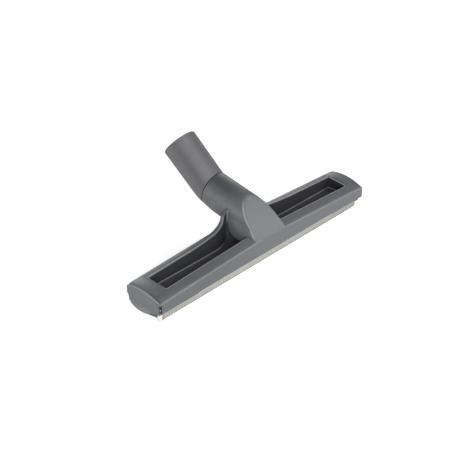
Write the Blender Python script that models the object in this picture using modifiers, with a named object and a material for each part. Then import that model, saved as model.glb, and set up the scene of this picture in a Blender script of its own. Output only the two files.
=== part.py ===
"""Wet vacuum floor nozzle: a wide squeegee head with a swivelling elbow for the wand.

Metres, +Z up. X runs along the head, -Y is the front with the ribbed blade, and the blades'
tips stand on z = 0. All is drawn about the middle of the head and moved at the end, so that
the origin lies on the tip of the front blade.
"""

import math

import bmesh
import bpy
from mathutils import Matrix, Vector

# Clearance left between pieces that touch, and how far a cutter runs past what it opens
GAP = 0.0003
CUT_PAST = 0.0100

# Head shell: outer sizes
HEAD_LENGTH = 0.363
HEAD_DEPTH = 0.0484
FRONT_LIP_Z = 0.0092
TOP_MID_Z = 0.0304
TOP_TILT = 0.0037
TOP_BOW = 0.0049
CAMBER_SLOPE = 0.046
CAMBER_EASE = 0.020
RIDGE_ROUND = 0.0022
BACK_ROUND = 0.0030
END_ROUND = 0.0020
END_STATION = 0.0120
CORNER_CLEAR = 0.0040
PARTING_RISE = 0.0051

# Pockets in the top of the head, either side of the neck
POCKET_END_WALL = 0.0217
POCKET_FRONT_Y = -0.0124
POCKET_BACK_Y = 0.0122
POCKET_FLOOR_Z = 0.0178
POCKET_INNER_X = 0.0236
POCKET_DRAFT = 0.0004
POCKET_SWEEP = 0.0280
POCKET_SWEEP_RISE = 0.0095

# Suction chamber under the pocket floors
FLOOR_WALL = 0.0025
CHAMBER_FRONT_Y = -0.0160
CHAMBER_BACK_Y = 0.0090
CHAMBER_END_WALL = 0.0160

# Hollow in the back wall, open below, either side of the neck
REAR_HOLLOW_FRONT_Y = 0.0146
REAR_HOLLOW_BACK_Y = 0.0218
REAR_HOLLOW_TOP_Z = 0.0250
REAR_HOLLOW_INNER_X = 0.0340

# Front blade and its groove, which opens at the left end only
BLADE_Y = -0.0210
BLADE_THICK = 0.0024
BLADE_BEAD_Z = 0.0140
BLADE_BEAD_RADIUS = 0.0017
BLADE_STOP = 0.0120
GROOVE_WIDTH = 0.0030
GROOVE_TOP_Z = 0.0188
RIB_PITCH = 0.0040
RIB_WIDTH = 0.0022
RIB_DEPTH = 0.0006
RIB_SIDE = 0.0003
RIB_LOW_Z = 0.0008
BLADE_PLAIN_END = 0.0050
BLADE_CORNER = 0.0035

# Rear blade, held in the bottom frame
REAR_BLADE_Y = 0.0168
REAR_BLADE_THICK = 0.0024
REAR_BLADE_TOP_Z = 0.0098
REAR_BLADE_LENGTH = 0.334
REAR_BLADE_EDGE = 0.0004

# Bottom frame
FRAME_END_GAP = 0.0008
FRAME_FRONT_Y = -0.0194
FRAME_BACK_Y = 0.0226
FRAME_LOW_Z = 0.0022
FRAME_LOW_Y = 0.0020
FRAME_BACK_RISE = 0.0109
FRAME_FRONT_RISE = 0.0018
SLOT_FRONT_Y = -0.0155
SLOT_BACK_Y = 0.0082
SLOT_RIB = 0.0026
SLOT_RIB_AT = (-0.112, -0.048, 0.048, 0.112)

# Screws that hold the frame up to the shell
SCREW_SHARES = (-0.771, -0.413, 0.413, 0.771)
SCREW_Y = 0.0118
SCREW_HEAD_RADIUS = 0.0026
SCREW_HEAD_HIGH = 0.0016
SCREW_SHANK_RADIUS = 0.0011
SCREW_LENGTH = 0.0085
SCREW_POINT = 0.0015
SCREW_RECESS = 0.0009
SCREW_RECESS_DEEP = 0.0007
SCREW_HEAD_EDGE = 0.0005
SCREW_BORE_SPARE = 0.0010

# Neck: lower tube of the shell, then the swivelling elbow
NECK_RADIUS = 0.0216
NECK_TILT = math.radians(14.5)
ELBOW_TILT = math.radians(40.6)
BEND_AT = Vector((0.0, 0.0615, 0.0615))
SEAM_FROM_BEND = 0.0012
SEAM_GROOVE = 0.0006
ELBOW_FOOT_RADIUS = 0.0204
ELBOW_RIM_RADIUS = 0.0210
ELBOW_REACH = 0.0671
RIM_CHAMFER = 0.0010
DUCT_BEND_RADIUS = 0.0228
DUCT_RADIUS = 0.0152
NECK_BORE_RADIUS = 0.0166
SOCKET_RADIUS = 0.0178
SOCKET_DEPTH = 0.0440
SLEEVE_RADIUS = 0.0180
SLEEVE_DEPTH = 0.0180
SPIGOT_LENGTH = 0.0165
SPIGOT_RADIUS = 0.0174
SPIGOT_ROOT = 0.0030
SOCKET_TAPER = 0.0003
SEAT_OPEN = 0.0015
RING_FROM_SEAM = 0.0045
RING_WIDTH = 0.0030
RING_DEPTH = 0.0012
RING_STAND = 0.0009
RING_SPLIT = 0.0024
SEAL_FROM_SEAM = 0.0105
SEAL_WIDTH = 0.0020
SEAL_DEPTH = 0.0010
SEAL_THICK = 0.0005

# Hood where the neck meets the head
FACET_TILT = math.radians(52.3)
FACET_FOOT = Vector((0.0, -0.0222, 0.0310))
HOOD_FOOT_HALF = 0.0290
HOOD_FLARE = 1.1
HOOD_BURIED = 0.0040
HOOD_BACK_Y = 0.0205
HOOD_FRONT_CORNER = 0.0040
HOOD_BACK_CORNER = 0.0130
HOOD_WALL = 0.0030
WEB_REACH = 0.074
WEB_FRONT_Y = 0.0118
WEB_RISE = 0.0240
WEB_TOP_DROP = 0.0015
WEB_INTO_NECK = 0.0025

HALF_LENGTH = HEAD_LENGTH / 2
SCREW_AT = tuple(share * HALF_LENGTH for share in SCREW_SHARES)
HALF_DEPTH = HEAD_DEPTH / 2


def clear_scene():
    for item in list(bpy.data.objects):
        bpy.data.objects.remove(item, do_unlink=True)


def new_collection(name):
    group = bpy.data.collections.new(name)
    bpy.context.scene.collection.children.link(group)
    return group


clear_scene()
PARTS = new_collection("wet_vacuum_nozzle")
CUTTERS = new_collection("cutters")


def material(name, colour, roughness, metallic=0.0):
    made = bpy.data.materials.new(name)
    made.use_nodes = True
    shader = made.node_tree.nodes["Principled BSDF"]
    shader.inputs["Base Color"].default_value = (*colour, 1.0)
    shader.inputs["Roughness"].default_value = roughness
    shader.inputs["Metallic"].default_value = metallic
    made.diffuse_color = (*colour, 1.0)
    return made


SHELL_PLASTIC = material("grey_moulded_plastic", (0.105, 0.112, 0.118), 0.48)
ELBOW_PLASTIC = material("grey_tube_plastic", (0.115, 0.116, 0.120), 0.50)
FRAME_PLASTIC = material("dark_frame_plastic", (0.085, 0.087, 0.092), 0.55)
BLADE_RUBBER = material("ivory_rubber", (0.62, 0.60, 0.56), 0.60)
SEAL_RUBBER = material("black_seal_rubber", (0.02, 0.02, 0.02), 0.55)
RING_PLASTIC = material("natural_ring_plastic", (0.55, 0.54, 0.50), 0.45)
SCREW_STEEL = material("screw_steel", (0.58, 0.58, 0.60), 0.35, 1.0)


def object_from(name, mesh, group=CUTTERS):
    made = bpy.data.objects.new(name, mesh)
    group.objects.link(made)
    if group is CUTTERS:
        made.hide_render = True
        made.display_type = "WIRE"
    return made


def finish_part(part, finish):
    for group in list(part.users_collection):
        group.objects.unlink(part)
    PARTS.objects.link(part)
    part.hide_render = False
    part.display_type = "TEXTURED"
    part.data.materials.clear()
    part.data.materials.append(finish)
    part.data.shade_smooth()
    part.data.set_sharp_from_angle(angle=math.radians(30))


def boolean(part, other, operation):
    step = part.modifiers.new(operation.lower() + "_" + other.name, "BOOLEAN")
    step.operation = operation
    step.solver = "EXACT"
    step.object = other


def cut(part, *others):
    for other in others:
        boolean(part, other, "DIFFERENCE")


def join(part, *others):
    for other in others:
        boolean(part, other, "UNION")


def loft(name, sections):
    """A closed solid through sections of equal point counts, capped at both ends."""
    mesh = bpy.data.meshes.new(name)
    body = bmesh.new()
    rings = [[body.verts.new(point) for point in section] for section in sections]
    count = len(rings[0])
    for ring, following in zip(rings, rings[1:]):
        for i in range(count):
            j = (i + 1) % count
            body.faces.new((ring[i], ring[j], following[j], following[i]))
    body.faces.new(list(reversed(rings[0])))
    body.faces.new(rings[-1])
    bmesh.ops.triangulate(body, faces=body.faces)
    bmesh.ops.recalc_face_normals(body, faces=body.faces)
    body.to_mesh(mesh)
    body.free()
    return object_from(name, mesh)


def box(name, low, high):
    low, high = Vector(low), Vector(high)
    mesh = bpy.data.meshes.new(name)
    body = bmesh.new()
    bmesh.ops.create_cube(body, size=1.0)
    bmesh.ops.scale(body, vec=high - low, verts=body.verts)
    bmesh.ops.translate(body, vec=(low + high) / 2, verts=body.verts)
    body.to_mesh(mesh)
    body.free()
    return object_from(name, mesh)


def cylinder(name, start, end, radius, segments=40, end_radius=None):
    start, end = Vector(start), Vector(end)
    mesh = bpy.data.meshes.new(name)
    body = bmesh.new()
    bmesh.ops.create_cone(
        body, cap_ends=True, segments=segments, radius1=radius,
        radius2=radius if end_radius is None else end_radius, depth=(end - start).length)
    turn = (end - start).to_track_quat("Z", "Y").to_matrix().to_4x4()
    bmesh.ops.transform(body, matrix=Matrix.Translation((start + end) / 2) @ turn, verts=body.verts)
    body.to_mesh(mesh)
    body.free()
    return object_from(name, mesh)


def mesh_of(curve_object, name):
    """The curve's solid as a mesh object, with its caps welded."""
    bpy.context.view_layer.update()
    graph = bpy.context.evaluated_depsgraph_get()
    mesh = bpy.data.meshes.new_from_object(curve_object.evaluated_get(graph))
    body = bmesh.new()
    body.from_mesh(mesh)
    bmesh.ops.remove_doubles(body, verts=body.verts, dist=0.00001)
    bmesh.ops.recalc_face_normals(body, faces=body.faces)
    body.to_mesh(mesh)
    body.free()
    made = object_from(name, mesh)
    made.matrix_world = curve_object.matrix_world
    bpy.data.objects.remove(curve_object, do_unlink=True)
    return made


def plate(name, outline, low, high, frame):
    """A flat outline given thickness between low and high along the frame's third axis."""
    curve = bpy.data.curves.new(name, "CURVE")
    curve.dimensions = "2D"
    curve.fill_mode = "BOTH"
    curve.extrude = (high - low) / 2
    spline = curve.splines.new("POLY")
    spline.points.add(len(outline) - 1)
    for point, place in zip(spline.points, outline):
        point.co = (place[0], place[1], 0.0, 1.0)
    spline.use_cyclic_u = True
    drawn = object_from(name + "_outline", curve)
    drawn.matrix_world = frame @ Matrix.Translation((0.0, 0.0, (low + high) / 2))
    return mesh_of(drawn, name)


def pipe(name, points, radii, sides):
    """A round bar along points, one radius a point, with filled caps."""
    curve = bpy.data.curves.new(name, "CURVE")
    curve.dimensions = "3D"
    curve.bevel_depth = 1.0
    curve.bevel_resolution = sides // 4 - 1
    curve.use_fill_caps = True
    curve.twist_mode = "Z_UP"
    spline = curve.splines.new("POLY")
    spline.points.add(len(points) - 1)
    for point, place, radius in zip(spline.points, points, radii):
        point.co = (*place, 1.0)
        point.radius = radius
    return mesh_of(object_from(name + "_line", curve), name)


def turned(name, profile, frame, segments=40):
    """A ring or sleeve turned about the frame's third axis from (radius, height) points."""
    mesh = bpy.data.meshes.new(name)
    body = bmesh.new()
    ring = [body.verts.new((radius, 0.0, height)) for radius, height in profile]
    for i in range(len(ring)):
        body.edges.new((ring[i], ring[(i + 1) % len(ring)]))
    bmesh.ops.spin(
        body, geom=body.verts[:] + body.edges[:], cent=(0, 0, 0), axis=(0, 0, 1),
        angle=math.tau, steps=segments, use_merge=True)
    bmesh.ops.remove_doubles(body, verts=body.verts, dist=0.00001)
    bmesh.ops.recalc_face_normals(body, faces=body.faces)
    bmesh.ops.transform(body, matrix=frame, verts=body.verts)
    body.to_mesh(mesh)
    body.free()
    return object_from(name, mesh)


def rounded(corners, steps=3):
    """An outline with each corner (x, y, radius) rounded by an arc."""
    outline = []
    count = len(corners)
    for i, (x, y, radius) in enumerate(corners):
        here = Vector((x, y))
        if radius == 0.0:
            outline.append(here)
            continue
        before = (Vector(corners[i - 1][:2]) - here).normalized()
        after = (Vector(corners[(i + 1) % count][:2]) - here).normalized()
        half = before.angle(after) / 2
        centre = here + (before + after).normalized() * radius / math.sin(half)
        start = here + before * radius / math.tan(half) - centre
        end = here + after * radius / math.tan(half) - centre
        turn = start.angle_signed(end)
        for step in range(steps + 1):
            outline.append(centre + Matrix.Rotation(-turn * step / steps, 2) @ start)
    return outline


def camber(x):
    """How far the top of the head stands above its height at the ends."""
    rise = math.hypot(HALF_LENGTH, CAMBER_EASE) - math.hypot(x, CAMBER_EASE)
    return CAMBER_SLOPE * rise


def top_z(x, y):
    t = y / HALF_DEPTH
    return TOP_MID_Z + TOP_TILT * t - TOP_BOW * t * t + camber(x)


def parting_z(y):
    t = max(0.0, y / HALF_DEPTH)
    return FRONT_LIP_Z + PARTING_RISE * t * t


def frame_low_z(y):
    if y > FRAME_LOW_Y:
        t = (y - FRAME_LOW_Y) / (HALF_DEPTH - FRAME_LOW_Y)
        return FRAME_LOW_Z + FRAME_BACK_RISE * t ** 2.6
    t = (FRAME_LOW_Y - y) / (FRAME_LOW_Y + HALF_DEPTH)
    return FRAME_LOW_Z + FRAME_FRONT_RISE * t ** 1.5


def spread(low, high, count):
    return [low + (high - low) * i / (count - 1) for i in range(count)]


def head_section(x, inset):
    """The head's outline across its length at x, drawn in by inset at the rounded ends."""
    front, back = -HALF_DEPTH + inset, HALF_DEPTH - inset
    inner = spread(front + CORNER_CLEAR, back - CORNER_CLEAR, 8)
    crest = [(y, top_z(x, y) - inset, 0.0) for y in inner]
    belly = [(y, parting_z(y) + inset, 0.0) for y in reversed(inner)]
    corners = [(front, parting_z(front) + inset, 0.0)]
    corners += [(front, top_z(x, front) - inset, RIDGE_ROUND)]
    corners += crest
    corners += [(back, top_z(x, back) - inset, BACK_ROUND)]
    corners += [(back, parting_z(back) + inset, 0.0)]
    corners += belly
    return [(x, y, z) for y, z in rounded(corners)]


def head_hull():
    straight = HALF_LENGTH - END_STATION
    middle = [(x, 0.0) for x in spread(-straight, straight, 17)]
    right = []
    for angle in spread(0.0, math.radians(60), 3):
        out, inset = END_ROUND * (math.sin(angle) - 1), END_ROUND * (1 - math.cos(angle))
        right.append((HALF_LENGTH + out, inset))
    right.append((HALF_LENGTH, END_ROUND))
    left = [(-x, inset) for x, inset in reversed(right)]
    return loft("head_shell", [head_section(x, inset) for x, inset in left + middle + right])


ALONG_Y = Matrix(((1, 0, 0, 0), (0, 0, -1, 0), (0, 1, 0, 0), (0, 0, 0, 1)))
NECK_AXIS = Vector((0.0, math.cos(NECK_TILT), math.sin(NECK_TILT)))
ELBOW_AXIS = Vector((0.0, math.cos(ELBOW_TILT), math.sin(ELBOW_TILT)))
NECK_UP = Vector((0.0, -math.sin(NECK_TILT), math.cos(NECK_TILT)))
BEND = ELBOW_TILT - NECK_TILT
SEAM_AT = BEND_AT - NECK_AXIS * SEAM_FROM_BEND
ABOVE_HEAD = 0.080
BELOW_HEAD = -0.010
PAST_ALL = 0.120


def axis_frame(origin, axis):
    """A frame at origin whose third axis runs along axis and whose first is X."""
    side = Vector((1.0, 0.0, 0.0))
    up = axis.cross(side)
    turn = Matrix((side, up, axis)).transposed().to_4x4()
    return Matrix.Translation(origin) @ turn


def pocket_cutter(side):
    """One pocket: a straight channel whose floor sweeps up to the neck at its inner end."""
    outer, inner = HALF_LENGTH - POCKET_END_WALL, POCKET_INNER_X
    sweep = [
        (inner + POCKET_SWEEP * (1 - t), POCKET_FLOOR_Z + POCKET_SWEEP_RISE * t ** 1.8)
        for t in spread(0.0, 1.0, 8)]
    foot = (outer - POCKET_DRAFT, POCKET_FLOOR_Z)
    outline = [(outer, ABOVE_HEAD), foot] + sweep + [(inner, ABOVE_HEAD)]
    outline = [(side * x, z) for x, z in outline]
    return plate("pocket_cutter", outline, -POCKET_BACK_Y, -POCKET_FRONT_Y, ALONG_Y)


def neck_z(y):
    """Height of the neck's axis at y."""
    return BEND_AT.z + (y - BEND_AT.y) * math.tan(NECK_TILT)


def hood_ring(level, half, back, front, shrink=0.0):
    """One outline of the hood; level 0 is flat at the foot and 1 lies along the neck's axis."""
    foot_z = POCKET_FLOOR_Z - HOOD_BURIED
    reach, near, far = half - shrink, front + shrink, back - shrink
    corners = [
        (reach, near, HOOD_FRONT_CORNER), (reach, far, HOOD_BACK_CORNER),
        (-reach, far, HOOD_BACK_CORNER), (-reach, near, HOOD_FRONT_CORNER)]
    return [(x, y, foot_z + level * (neck_z(y) - foot_z)) for x, y in rounded(corners, 5)]


def hood_half(level):
    """Half width of the hood: flared at its foot, just inside the neck at the top."""
    top = NECK_RADIUS - 2 * GAP
    return top + (HOOD_FOOT_HALF - top) * (1 - level) ** HOOD_FLARE


def hood_body(name, shrink, levels, front):
    rings = [hood_ring(level, hood_half(level), HOOD_BACK_Y, front, shrink) for level in levels]
    return loft(name, rings)


def facet_cutter(inset):
    """A block that cuts the hood's flat front face."""
    out = Vector((0.0, -math.sin(FACET_TILT), math.cos(FACET_TILT)))
    frame = axis_frame(FACET_FOOT - out * inset, out)
    block = box("facet_cutter", (-PAST_ALL, -PAST_ALL, 0.0), (PAST_ALL, PAST_ALL, PAST_ALL))
    block.matrix_world = frame
    return block


def front_trim(y):
    """A block that takes away everything in front of y."""
    return box("front_trim", (-PAST_ALL, -PAST_ALL, -PAST_ALL), (PAST_ALL, y, PAST_ALL))


def web_plate():
    """The upright rear web, whose top sweeps from the back wall up to the neck's sides."""
    left = []
    for angle in spread(0.0, math.pi / 2, 8):
        out = (WEB_REACH - NECK_RADIUS) * (1 - math.sin(angle)) ** 1.5
        x = NECK_RADIUS - WEB_INTO_NECK + out
        z = top_z(WEB_REACH, WEB_FRONT_Y) - WEB_TOP_DROP + WEB_RISE * (1 - math.cos(angle))
        left.append((-x, z))
    right = [(-x, z) for x, z in reversed(left)]
    outline = [(-WEB_REACH, POCKET_FLOOR_Z)] + left + right + [(WEB_REACH, POCKET_FLOOR_Z)]
    return plate("neck_web", outline, -HALF_DEPTH + 2 * GAP, -WEB_FRONT_Y, ALONG_Y)


def groove_cutter():
    """The front blade's groove, open at the left end and stopped short of the right."""
    left, right = -HALF_LENGTH - CUT_PAST, HALF_LENGTH - BLADE_STOP + GAP
    slot = box(
        "groove_slot", (left, BLADE_Y - GROOVE_WIDTH / 2, BELOW_HEAD),
        (right, BLADE_Y + GROOVE_WIDTH / 2, GROOVE_TOP_Z))
    bead = cylinder(
        "groove_bead", (left, BLADE_Y, BLADE_BEAD_Z), (right, BLADE_Y, BLADE_BEAD_Z),
        BLADE_BEAD_RADIUS + GAP, 12)
    return slot, bead


def ring_groove(name, start, width, inner, outer):
    """A ring-shaped cutter about the swivel axis, from start to start + width inside the neck."""
    profile = [(inner, start), (outer, start), (outer, start + width), (inner, start + width)]
    return turned(name, profile, axis_frame(SEAM_AT, -NECK_AXIS))


def screw_seat_z():
    return frame_low_z(SCREW_Y) + SCREW_HEAD_HIGH + GAP


def hood_and_neck():
    """Outer form of the neck: the tube and the hood under it, cut flat in front."""
    levels = (0.0, 0.15, 0.3, 0.45, 0.6, 0.8, 1.0)
    hood = hood_body("hood", 0.0, levels, -HALF_DEPTH + 2 * GAP)
    neck_end = SEAM_AT - NECK_AXIS * SEAM_GROOVE
    join(hood, cylinder("neck_tube", neck_end, SEAM_AT - NECK_AXIS * PAST_ALL, NECK_RADIUS, 48))
    cut(hood, facet_cutter(0.0), front_trim(-HALF_DEPTH + 2 * GAP))
    return hood


def suction_duct():
    """The hollow from the chamber under the pockets up through the neck."""
    front = CHAMBER_FRONT_Y + 2 * GAP
    duct = hood_body("duct", HOOD_WALL, (0.0, 0.3, 0.6, 0.95), front - HOOD_WALL)
    bore_end = SEAM_AT + NECK_AXIS * CUT_PAST
    join(duct, cylinder("neck_bore", bore_end, SEAM_AT - NECK_AXIS * PAST_ALL, NECK_BORE_RADIUS, 40))
    cut(duct, facet_cutter(HOOD_WALL), front_trim(front))
    half = HALF_LENGTH - CHAMBER_END_WALL
    join(duct, box(
        "chamber", (-half, CHAMBER_FRONT_Y, BELOW_HEAD),
        (half, CHAMBER_BACK_Y, POCKET_FLOOR_Z - FLOOR_WALL)))
    return duct


def cut_sleeve(shell):
    """The bore the elbow's spigot turns in, with the groove its snap ring catches in."""
    mouth, foot = SEAM_AT + NECK_AXIS * CUT_PAST, SEAM_AT - NECK_AXIS * SLEEVE_DEPTH
    cut(shell, cylinder("sleeve", mouth, foot, SLEEVE_RADIUS, 48))
    cut(shell, ring_groove(
        "sleeve_groove", RING_FROM_SEAM, RING_WIDTH, SLEEVE_RADIUS - SEAT_OPEN,
        SPIGOT_RADIUS + RING_STAND + GAP))


def cut_rear_hollows(shell):
    inner, outer = REAR_HOLLOW_INNER_X, HALF_LENGTH - CHAMBER_END_WALL
    for left, right in ((-outer, -inner), (inner, outer)):
        cut(shell, box(
            "rear_hollow", (left, REAR_HOLLOW_FRONT_Y, BELOW_HEAD),
            (right, REAR_HOLLOW_BACK_Y, REAR_HOLLOW_TOP_Z)))


def cut_screw_bores(shell):
    top = screw_seat_z() + SCREW_LENGTH + SCREW_BORE_SPARE
    for x in SCREW_AT:
        cut(shell, cylinder(
            "screw_bore", (x, SCREW_Y, BELOW_HEAD), (x, SCREW_Y, top), SCREW_SHANK_RADIUS + GAP, 12))


def head_shell():
    shell = head_hull()
    join(shell, web_plate())
    cut(shell, pocket_cutter(1), pocket_cutter(-1))
    join(shell, hood_and_neck())
    cut(shell, suction_duct())
    cut(shell, *groove_cutter())
    cut_rear_hollows(shell)
    cut_screw_bores(shell)
    cut_sleeve(shell)
    finish_part(shell, SHELL_PLASTIC)


def frame_section(x, inset):
    front, back = FRAME_FRONT_Y + inset, FRAME_BACK_Y - inset
    upper = [(x, y, parting_z(y) - GAP - inset) for y in spread(front, back, 10)]
    lower = [(x, y, frame_low_z(y) + inset) for y in reversed(spread(front, back, 14))]
    return upper + lower


def frame_loft():
    half, edge = HALF_LENGTH - FRAME_END_GAP, FRAME_END_GAP
    stations = [(-half, edge), (edge - half, 0.0), (0.0, 0.0), (half - edge, 0.0), (half, edge)]
    return loft("bottom_frame", [frame_section(x, inset) for x, inset in stations])


def slot_cutters():
    """One opening between each pair of neighbouring ribs."""
    half = HALF_LENGTH - CHAMBER_END_WALL + SLOT_RIB / 2
    edges = [-half] + list(SLOT_RIB_AT) + [half]
    for left, right in zip(edges, edges[1:]):
        yield box(
            "suction_slot", (left + SLOT_RIB / 2, SLOT_FRONT_Y, BELOW_HEAD),
            (right - SLOT_RIB / 2, SLOT_BACK_Y, ABOVE_HEAD))


def bottom_frame():
    frame = frame_loft()
    cut(frame, *slot_cutters())
    reach, side = REAR_BLADE_LENGTH / 2 + GAP, REAR_BLADE_THICK / 2 + GAP
    cut(frame, box(
        "rear_groove", (-reach, REAR_BLADE_Y - side, BELOW_HEAD),
        (reach, REAR_BLADE_Y + side, REAR_BLADE_TOP_Z + GAP)))
    hole_radius, seat_radius = SCREW_SHANK_RADIUS + GAP, SCREW_HEAD_RADIUS + GAP
    for x in SCREW_AT:
        low, seat = (x, SCREW_Y, BELOW_HEAD), (x, SCREW_Y, screw_seat_z())
        cut(frame, cylinder("screw_hole", low, (x, SCREW_Y, ABOVE_HEAD), hole_radius, 12))
        cut(frame, cylinder("screw_seat", low, seat, seat_radius, 20))
    finish_part(frame, FRAME_PLASTIC)


def blade_strip(left, right):
    """The blade's plain strip, its free corner at the right rounded off."""
    corners = [
        (left, 0.0, 0.0), (left, BLADE_BEAD_Z, 0.0), (right, BLADE_BEAD_Z, 0.0),
        (right, 0.0, BLADE_CORNER)]
    middle = -BLADE_Y
    return plate(
        "front_blade", rounded(corners, 5), middle - BLADE_THICK / 2, middle + BLADE_THICK / 2, ALONG_Y)


def blade_ribs(left, right):
    """Upright ribs down the blade's front face, each a low trapezium in plan."""
    front = BLADE_Y - BLADE_THICK / 2
    root, inside, proud = front + GAP / 2, front + 2 * GAP, front - RIB_DEPTH
    first = left + BLADE_PLAIN_END
    count = int((right - first - BLADE_PLAIN_END) / RIB_PITCH)
    outline = [(first - RIB_SIDE, inside), (first - RIB_SIDE, root)]
    for i in range(count):
        start = first + i * RIB_PITCH
        end = start + RIB_WIDTH
        outline += [(start, root), (start + RIB_SIDE, proud), (end - RIB_SIDE, proud), (end, root)]
    last = first + count * RIB_PITCH
    outline += [(last, root), (last, inside)]
    return plate("blade_ribs", outline, RIB_LOW_Z, FRONT_LIP_Z - GAP, Matrix.Identity(4))


def front_blade():
    """Ribbed rubber strip with a round bead that slides into the groove from the left."""
    left, right = -HALF_LENGTH + GAP, HALF_LENGTH - BLADE_STOP
    blade = blade_strip(left, right)
    bead_ends = (left, BLADE_Y, BLADE_BEAD_Z), (right, BLADE_Y, BLADE_BEAD_Z)
    join(blade, cylinder("blade_bead", *bead_ends, BLADE_BEAD_RADIUS, 12), blade_ribs(left, right))
    finish_part(blade, BLADE_RUBBER)


def rear_blade():
    half, side = REAR_BLADE_LENGTH / 2, REAR_BLADE_THICK / 2
    blade = box(
        "rear_blade", (-half, REAR_BLADE_Y - side, 0.0), (half, REAR_BLADE_Y + side, REAR_BLADE_TOP_Z))
    edge = blade.modifiers.new("moulded_edge", "BEVEL")
    edge.width = REAR_BLADE_EDGE
    edge.segments = 1
    finish_part(blade, BLADE_RUBBER)


def frame_screws():
    seat = screw_seat_z() - GAP
    face, tip = seat - SCREW_HEAD_HIGH, seat + SCREW_LENGTH
    recess_z = face + SCREW_RECESS_DEEP
    profile = [
        (SCREW_RECESS, recess_z), (SCREW_RECESS, face), (SCREW_HEAD_RADIUS - SCREW_HEAD_EDGE, face),
        (SCREW_HEAD_RADIUS, face + SCREW_HEAD_EDGE), (SCREW_HEAD_RADIUS, seat),
        (SCREW_SHANK_RADIUS, seat), (SCREW_SHANK_RADIUS, tip - SCREW_POINT), (GAP, tip)]
    for number, x in enumerate(SCREW_AT, 1):
        place = Matrix.Translation((x, SCREW_Y, 0.0))
        finish_part(turned_solid(f"frame_screw_{number}", profile, place, 16), SCREW_STEEL)


def turned_solid(name, profile, frame, segments):
    """A solid turned about the frame's third axis; the profile's ends are closed on the axis."""
    mesh = bpy.data.meshes.new(name)
    body = bmesh.new()
    line = [body.verts.new((0.0, 0.0, profile[0][1]))]
    line += [body.verts.new((radius, 0.0, height)) for radius, height in profile]
    line += [body.verts.new((0.0, 0.0, profile[-1][1]))]
    for first, second in zip(line, line[1:]):
        body.edges.new((first, second))
    bmesh.ops.spin(
        body, geom=body.verts[:] + body.edges[:], cent=(0, 0, 0), axis=(0, 0, 1),
        angle=math.tau, steps=segments, use_merge=True)
    bmesh.ops.remove_doubles(body, verts=body.verts, dist=0.00001)
    bmesh.ops.recalc_face_normals(body, faces=body.faces)
    bmesh.ops.transform(body, matrix=frame, verts=body.verts)
    body.to_mesh(mesh)
    body.free()
    return object_from(name, mesh)


def hull(name, points):
    """The smallest convex solid round the points."""
    mesh = bpy.data.meshes.new(name)
    body = bmesh.new()
    for point in points:
        body.verts.new(point)
    bmesh.ops.remove_doubles(body, verts=body.verts, dist=0.00001)
    bmesh.ops.convex_hull(body, input=body.verts)
    unused = [vert for vert in body.verts if not vert.link_faces]
    bmesh.ops.delete(body, geom=unused, context="VERTS")
    bmesh.ops.recalc_face_normals(body, faces=body.faces)
    body.to_mesh(mesh)
    body.free()
    return object_from(name, mesh)


def tube_ring(centre, radius, tilt, start=0.0, turn=math.tau, count=49):
    """Points round a tube whose axis leans by tilt from the neck's axis."""
    side = Vector((radius, 0.0, 0.0))
    up = Matrix.Rotation(tilt, 3, "X") @ NECK_UP * radius
    return [
        centre + side * math.cos(angle) + up * math.sin(angle)
        for angle in spread(start, start + turn, count)]


def elbow_body():
    """Outer form of the elbow: a leaning tube whose foot is cut square to the neck's axis."""
    points = tube_ring(SEAM_AT, ELBOW_FOOT_RADIUS, 0.0)
    for point in tube_ring(BEND_AT, ELBOW_FOOT_RADIUS, BEND, 0.0, math.pi, 25):
        along = (point - SEAM_AT).dot(NECK_AXIS) / math.cos(BEND)
        points.append(point - ELBOW_AXIS * along)
    for tilt in spread(0.0, BEND, 5):
        points += tube_ring(BEND_AT, ELBOW_FOOT_RADIUS, tilt, math.pi, math.pi, 25)
    rim = BEND_AT + ELBOW_AXIS * ELBOW_REACH
    points += tube_ring(rim - ELBOW_AXIS * RIM_CHAMFER, ELBOW_RIM_RADIUS, BEND)
    points += tube_ring(rim, ELBOW_RIM_RADIUS - RIM_CHAMFER, BEND)
    return hull("swivel_elbow", points)


def duct_path():
    """Points along the duct's middle, from inside the neck round the bend into the wand socket."""
    tangent = DUCT_BEND_RADIUS * math.tan(BEND / 2)
    centre = BEND_AT - NECK_AXIS * tangent + NECK_UP * DUCT_BEND_RADIUS
    points = [SEAM_AT - NECK_AXIS * (SPIGOT_LENGTH + CUT_PAST)]
    for angle in spread(0.0, BEND, 6):
        points.append(centre - Matrix.Rotation(angle, 3, "X") @ NECK_UP * DUCT_BEND_RADIUS)
    points.append(BEND_AT + ELBOW_AXIS * (ELBOW_REACH - SOCKET_DEPTH + CUT_PAST))
    return points


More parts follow.
